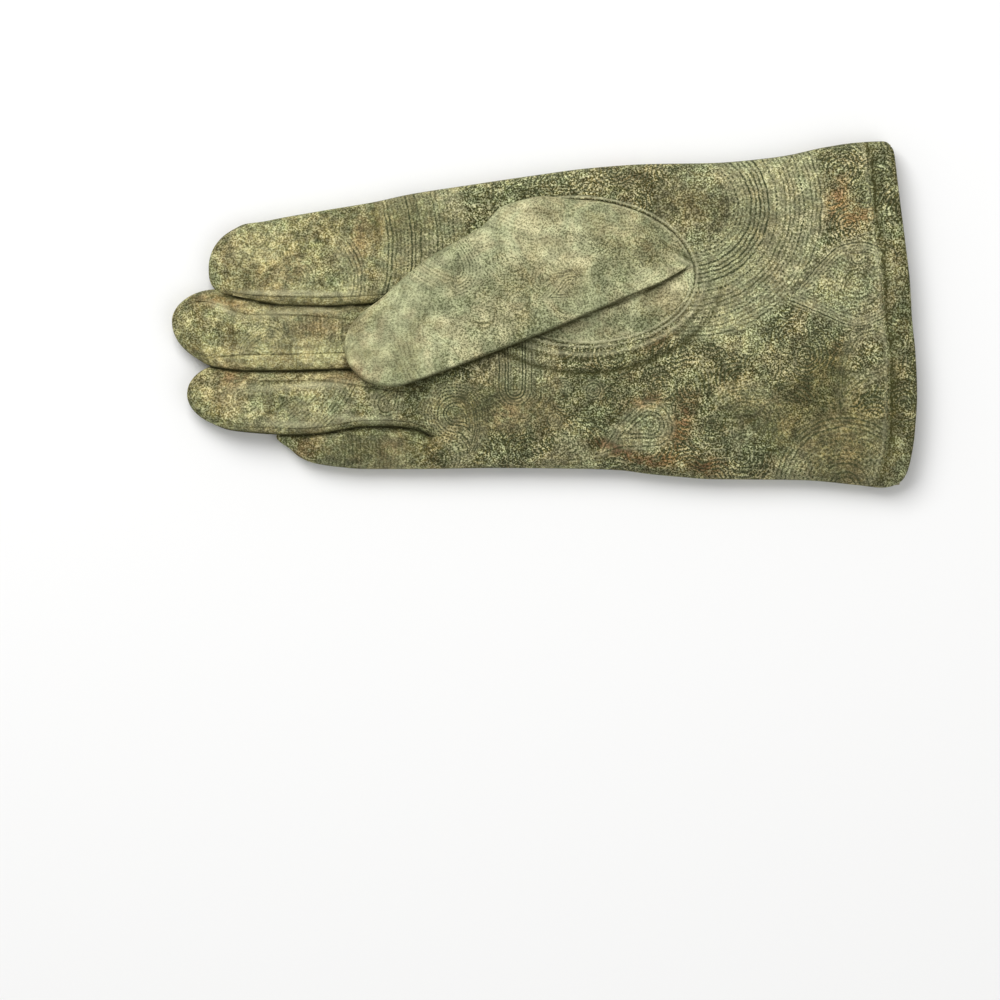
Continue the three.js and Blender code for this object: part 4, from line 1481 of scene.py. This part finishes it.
class GloveColours(bpy.types.PropertyGroup):
    """Colours of the glove's suede, print and thread."""

    olive: colour("Olive", "The darker tone of the hand's suede", (0.112, 0.108, 0.038))
    sand: colour("Sand", "The paler tone of the hand's suede", (0.32, 0.3, 0.125))
    moss: colour("Moss", "The greener clouds in the suede", (0.18, 0.21, 0.1))
    tan: colour("Tan", "Patches where the print has worn off", (0.46, 0.38, 0.165))
    rust: colour("Rust", "Reddish brown stains", (0.2, 0.095, 0.055))
    ink: colour("Ink", "The print's dark green lines", (0.05, 0.058, 0.024))
    # Shadow is also the colour of the painted shade in creases, slits and grooves
    shadow: colour("Shadow", "The dark of the grain", (0.042, 0.041, 0.01))
    # Nap is also the colour of the painted highlights on crests
    nap: colour("Nap", "The light fibres of the nap", (0.57, 0.55, 0.335))
    umber: colour("Umber", "The browner patches in the suede", (0.225, 0.172, 0.062))
    thumb_dark: colour("Thumb dark", "The darker tone of the thumb's suede", (0.35, 0.355, 0.19))
    thumb_light: colour("Thumb light", "The paler tone of the thumb's suede", (0.6, 0.58, 0.335))
    side_dark: colour("Side dark", "The darker tone of the fourchettes", (0.15, 0.138, 0.05))
    side_light: colour("Side light", "The paler tone of the fourchettes", (0.4, 0.36, 0.165))
    inside: colour("Inside", "The flesh side of the leather", (0.22, 0.2, 0.11))
    thread: colour("Thread", "The sewing thread", (0.16, 0.155, 0.07))


class GLOVE_OT_trank(bpy.types.Operator):
    """Adds the trank: the palm, the back and the fronts and backs of the four fingers, in one leather"""

    bl_idname = "glove.trank"
    bl_label = "Trank"

    def execute(self, context):
        sizes, colours = context.scene.glove_sizes, context.scene.glove_colours
        bm = hand_piece(0)
        fit_hole(bm)
        materials = leather("printed_suede", colours)
        finish_piece("trank", bm, sizes.leather, PALM_MOTIFS, materials)
        return {"FINISHED"}


class GLOVE_OT_fourchettes(bpy.types.Operator):
    """Adds the fourchettes: the strips that make the sides of the fingers"""

    bl_idname = "glove.fourchettes"
    bl_label = "Fourchettes"

    def execute(self, context):
        thickness = context.scene.glove_sizes.leather
        materials = leather("side_suede", context.scene.glove_colours)
        for number, slit in enumerate(SLITS, start=1):
            bm = hand_piece(number)
            finish_piece(
                slit["piece"], bm, thickness, PALM_MOTIFS, materials, FOURCHETTE_INK
            )
        return {"FINISHED"}


class GLOVE_OT_thumb(bpy.types.Operator):
    """Adds the thumb: a tube folded over the palm, whose base opens out to the thumb hole's seam"""

    bl_idname = "glove.thumb"
    bl_label = "Thumb"

    def execute(self, context):
        sizes, colours = context.scene.glove_sizes, context.scene.glove_colours
        bm = bmesh.new()
        add_grid(bm, thumb_points())
        close_up(bm, THUMB_JOIN)
        materials = leather("pale_suede", colours)
        finish_piece("thumb", bm, sizes.thumb_leather, THUMB_MOTIFS, materials)
        return {"FINISHED"}


def add_stitch(bm, sheet, y, side, stitch_length):
    """One stitch laid on the leather in the hem's groove, along it."""
    x = float(cuff_end(y) - HEM_STITCHES["back"] - hem_wobble(y))
    start = Vector((x, y, 40.0 * side)) * MM
    found, place, normal, _face = sheet.ray_cast(start, Vector((0, 0, -side)))
    if not found:
        raise RuntimeError("a stitch finds no leather")
    along = Vector((float(cuff_end(y + 1) - cuff_end(y - 1)) / 2, 1, 0))
    along = (along - normal * along.dot(normal)).normalized()
    turn = Matrix((along, normal.cross(along), normal)).transposed().to_4x4()
    radius = HEM_STITCHES["radius"] * MM
    shape = Matrix.Translation(place) @ turn @ Matrix.Diagonal((stitch_length / 2, radius, radius, 1))
    bmesh.ops.create_uvsphere(bm, u_segments=8, v_segments=5, radius=1.0, matrix=shape)


class GLOVE_OT_stitches(bpy.types.Operator):
    """Adds the row of stitches that holds the hem, on the palm side and on the back"""

    bl_idname = "glove.stitches"
    bl_label = "Hem stitches"

    def execute(self, context):
        sizes, colours = context.scene.glove_sizes, context.scene.glove_colours
        sheet = bpy.data.objects.get("trank_leather")
        if sheet is None:
            raise RuntimeError("the hem's stitches need the trank")
        bm = bmesh.new()
        half_width = HIGH_SIDE[-1][1] - HEM_STITCHES["end_margin"]
        pitch = sizes.stitch_pitch / MM
        for side in (1, -1):
            for number in range(int(2 * half_width / pitch) + 1):
                add_stitch(bm, sheet, -half_width + number * pitch, side, sizes.stitch_length)
        mesh = bpy.data.meshes.new("hem_stitches")
        bm.to_mesh(mesh)
        bm.free()
        thread = bpy.data.objects.new("hem_stitches", mesh)
        context.scene.collection.objects.link(thread)
        mesh.materials.append(bpy.data.materials.get("glove_thread") or thread_material(colours))
        mesh.shade_smooth()
        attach(thread, "root")
        return {"FINISHED"}


def soft_light(name, place, size, power):
    """A square area light that looks at the glove."""
    light = bpy.data.lights.new(name, "AREA")
    light.shape = "SQUARE"
    light.size = size
    light.energy = power
    lamp = bpy.data.objects.new(name, light)
    lamp.location = place
    lamp.rotation_mode = "QUATERNION"
    lamp.rotation_quaternion = (-Vector(place)).to_track_quat("-Z", "Y")
    bpy.context.scene.collection.objects.link(lamp)


class GLOVE_OT_stage(bpy.types.Operator):
    """Adds the pale floor, the soft light and the camera"""

    bl_idname = "glove.stage"
    bl_label = "Stage"

    def execute(self, context):
        scene = context.scene
        mesh = bpy.data.meshes.new("floor")
        bm = bmesh.new()
        bmesh.ops.create_grid(bm, x_segments=1, y_segments=1, size=FLOOR["reach"])
        bmesh.ops.translate(bm, verts=bm.verts, vec=(0, 0, -FLOOR["below"]))
        bm.to_mesh(mesh)
        bm.free()
        floor = bpy.data.objects.new("floor", mesh)
        scene.collection.objects.link(floor)
        material = bpy.data.materials.new("floor")
        material.use_nodes = True
        surface = material.node_tree.nodes["Principled BSDF"]
        surface.inputs["Base Color"].default_value = FLOOR["colour"]
        surface.inputs["Roughness"].default_value = FLOOR["roughness"]
        surface.inputs["Specular IOR Level"].default_value = FLOOR["shine"]
        mesh.materials.append(material)

        world = bpy.data.worlds.new("studio")
        world.use_nodes = True
        background = world.node_tree.nodes["Background"]
        background.inputs["Color"].default_value = (1.0, 1.0, 1.0, 1.0)
        background.inputs["Strength"].default_value = SURROUNDINGS
        scene.world = world
        for light in LIGHTS:
            soft_light(**light)

        camera = bpy.data.objects.new("camera", bpy.data.cameras.new("camera"))
        camera.location = (VIEW["x"] * MM, VIEW["y"] * MM, VIEW["height"] * MM)
        camera.data.sensor_width = VIEW["sensor"]
        camera.data.lens = VIEW["sensor"] * (VIEW["height"] - PALM_TOP) / VIEW["width"]
        camera.data.clip_start, camera.data.clip_end = VIEW["clip"]
        scene.collection.objects.link(camera)
        scene.camera = camera
        scene.view_settings.view_transform = "Standard"
        return {"FINISHED"}


class GLOVE_PT_panel(bpy.types.Panel):
    """Lists the glove's pieces in the sidebar"""

    bl_label = "Suede glove"
    bl_idname = "GLOVE_PT_panel"
    bl_space_type = "VIEW_3D"
    bl_region_type = "UI"
    bl_category = "Glove"

    def draw(self, context):
        for operator in OPERATORS:
            self.layout.operator(operator.bl_idname)
        for group in (context.scene.glove_sizes, context.scene.glove_colours):
            for name in group.__annotations__:
                self.layout.prop(group, name)


OPERATORS = (GLOVE_OT_trank, GLOVE_OT_fourchettes, GLOVE_OT_thumb, GLOVE_OT_stitches, GLOVE_OT_stage)
CLASSES = (GloveSizes, GloveColours, *OPERATORS, GLOVE_PT_panel)


def register():
    for cls in CLASSES:
        bpy.utils.register_class(cls)
    bpy.types.Scene.glove_sizes = PointerProperty(type=GloveSizes)
    bpy.types.Scene.glove_colours = PointerProperty(type=GloveColours)


def unregister():
    del bpy.types.Scene.glove_colours
    del bpy.types.Scene.glove_sizes
    for cls in reversed(CLASSES):
        bpy.utils.unregister_class(cls)


def main():
    register()
    bpy.ops.glove.trank()
    bpy.ops.glove.fourchettes()
    bpy.ops.glove.thumb()
    bpy.ops.glove.stitches()
    bpy.ops.glove.stage()


if __name__ == "__main__":
    main()
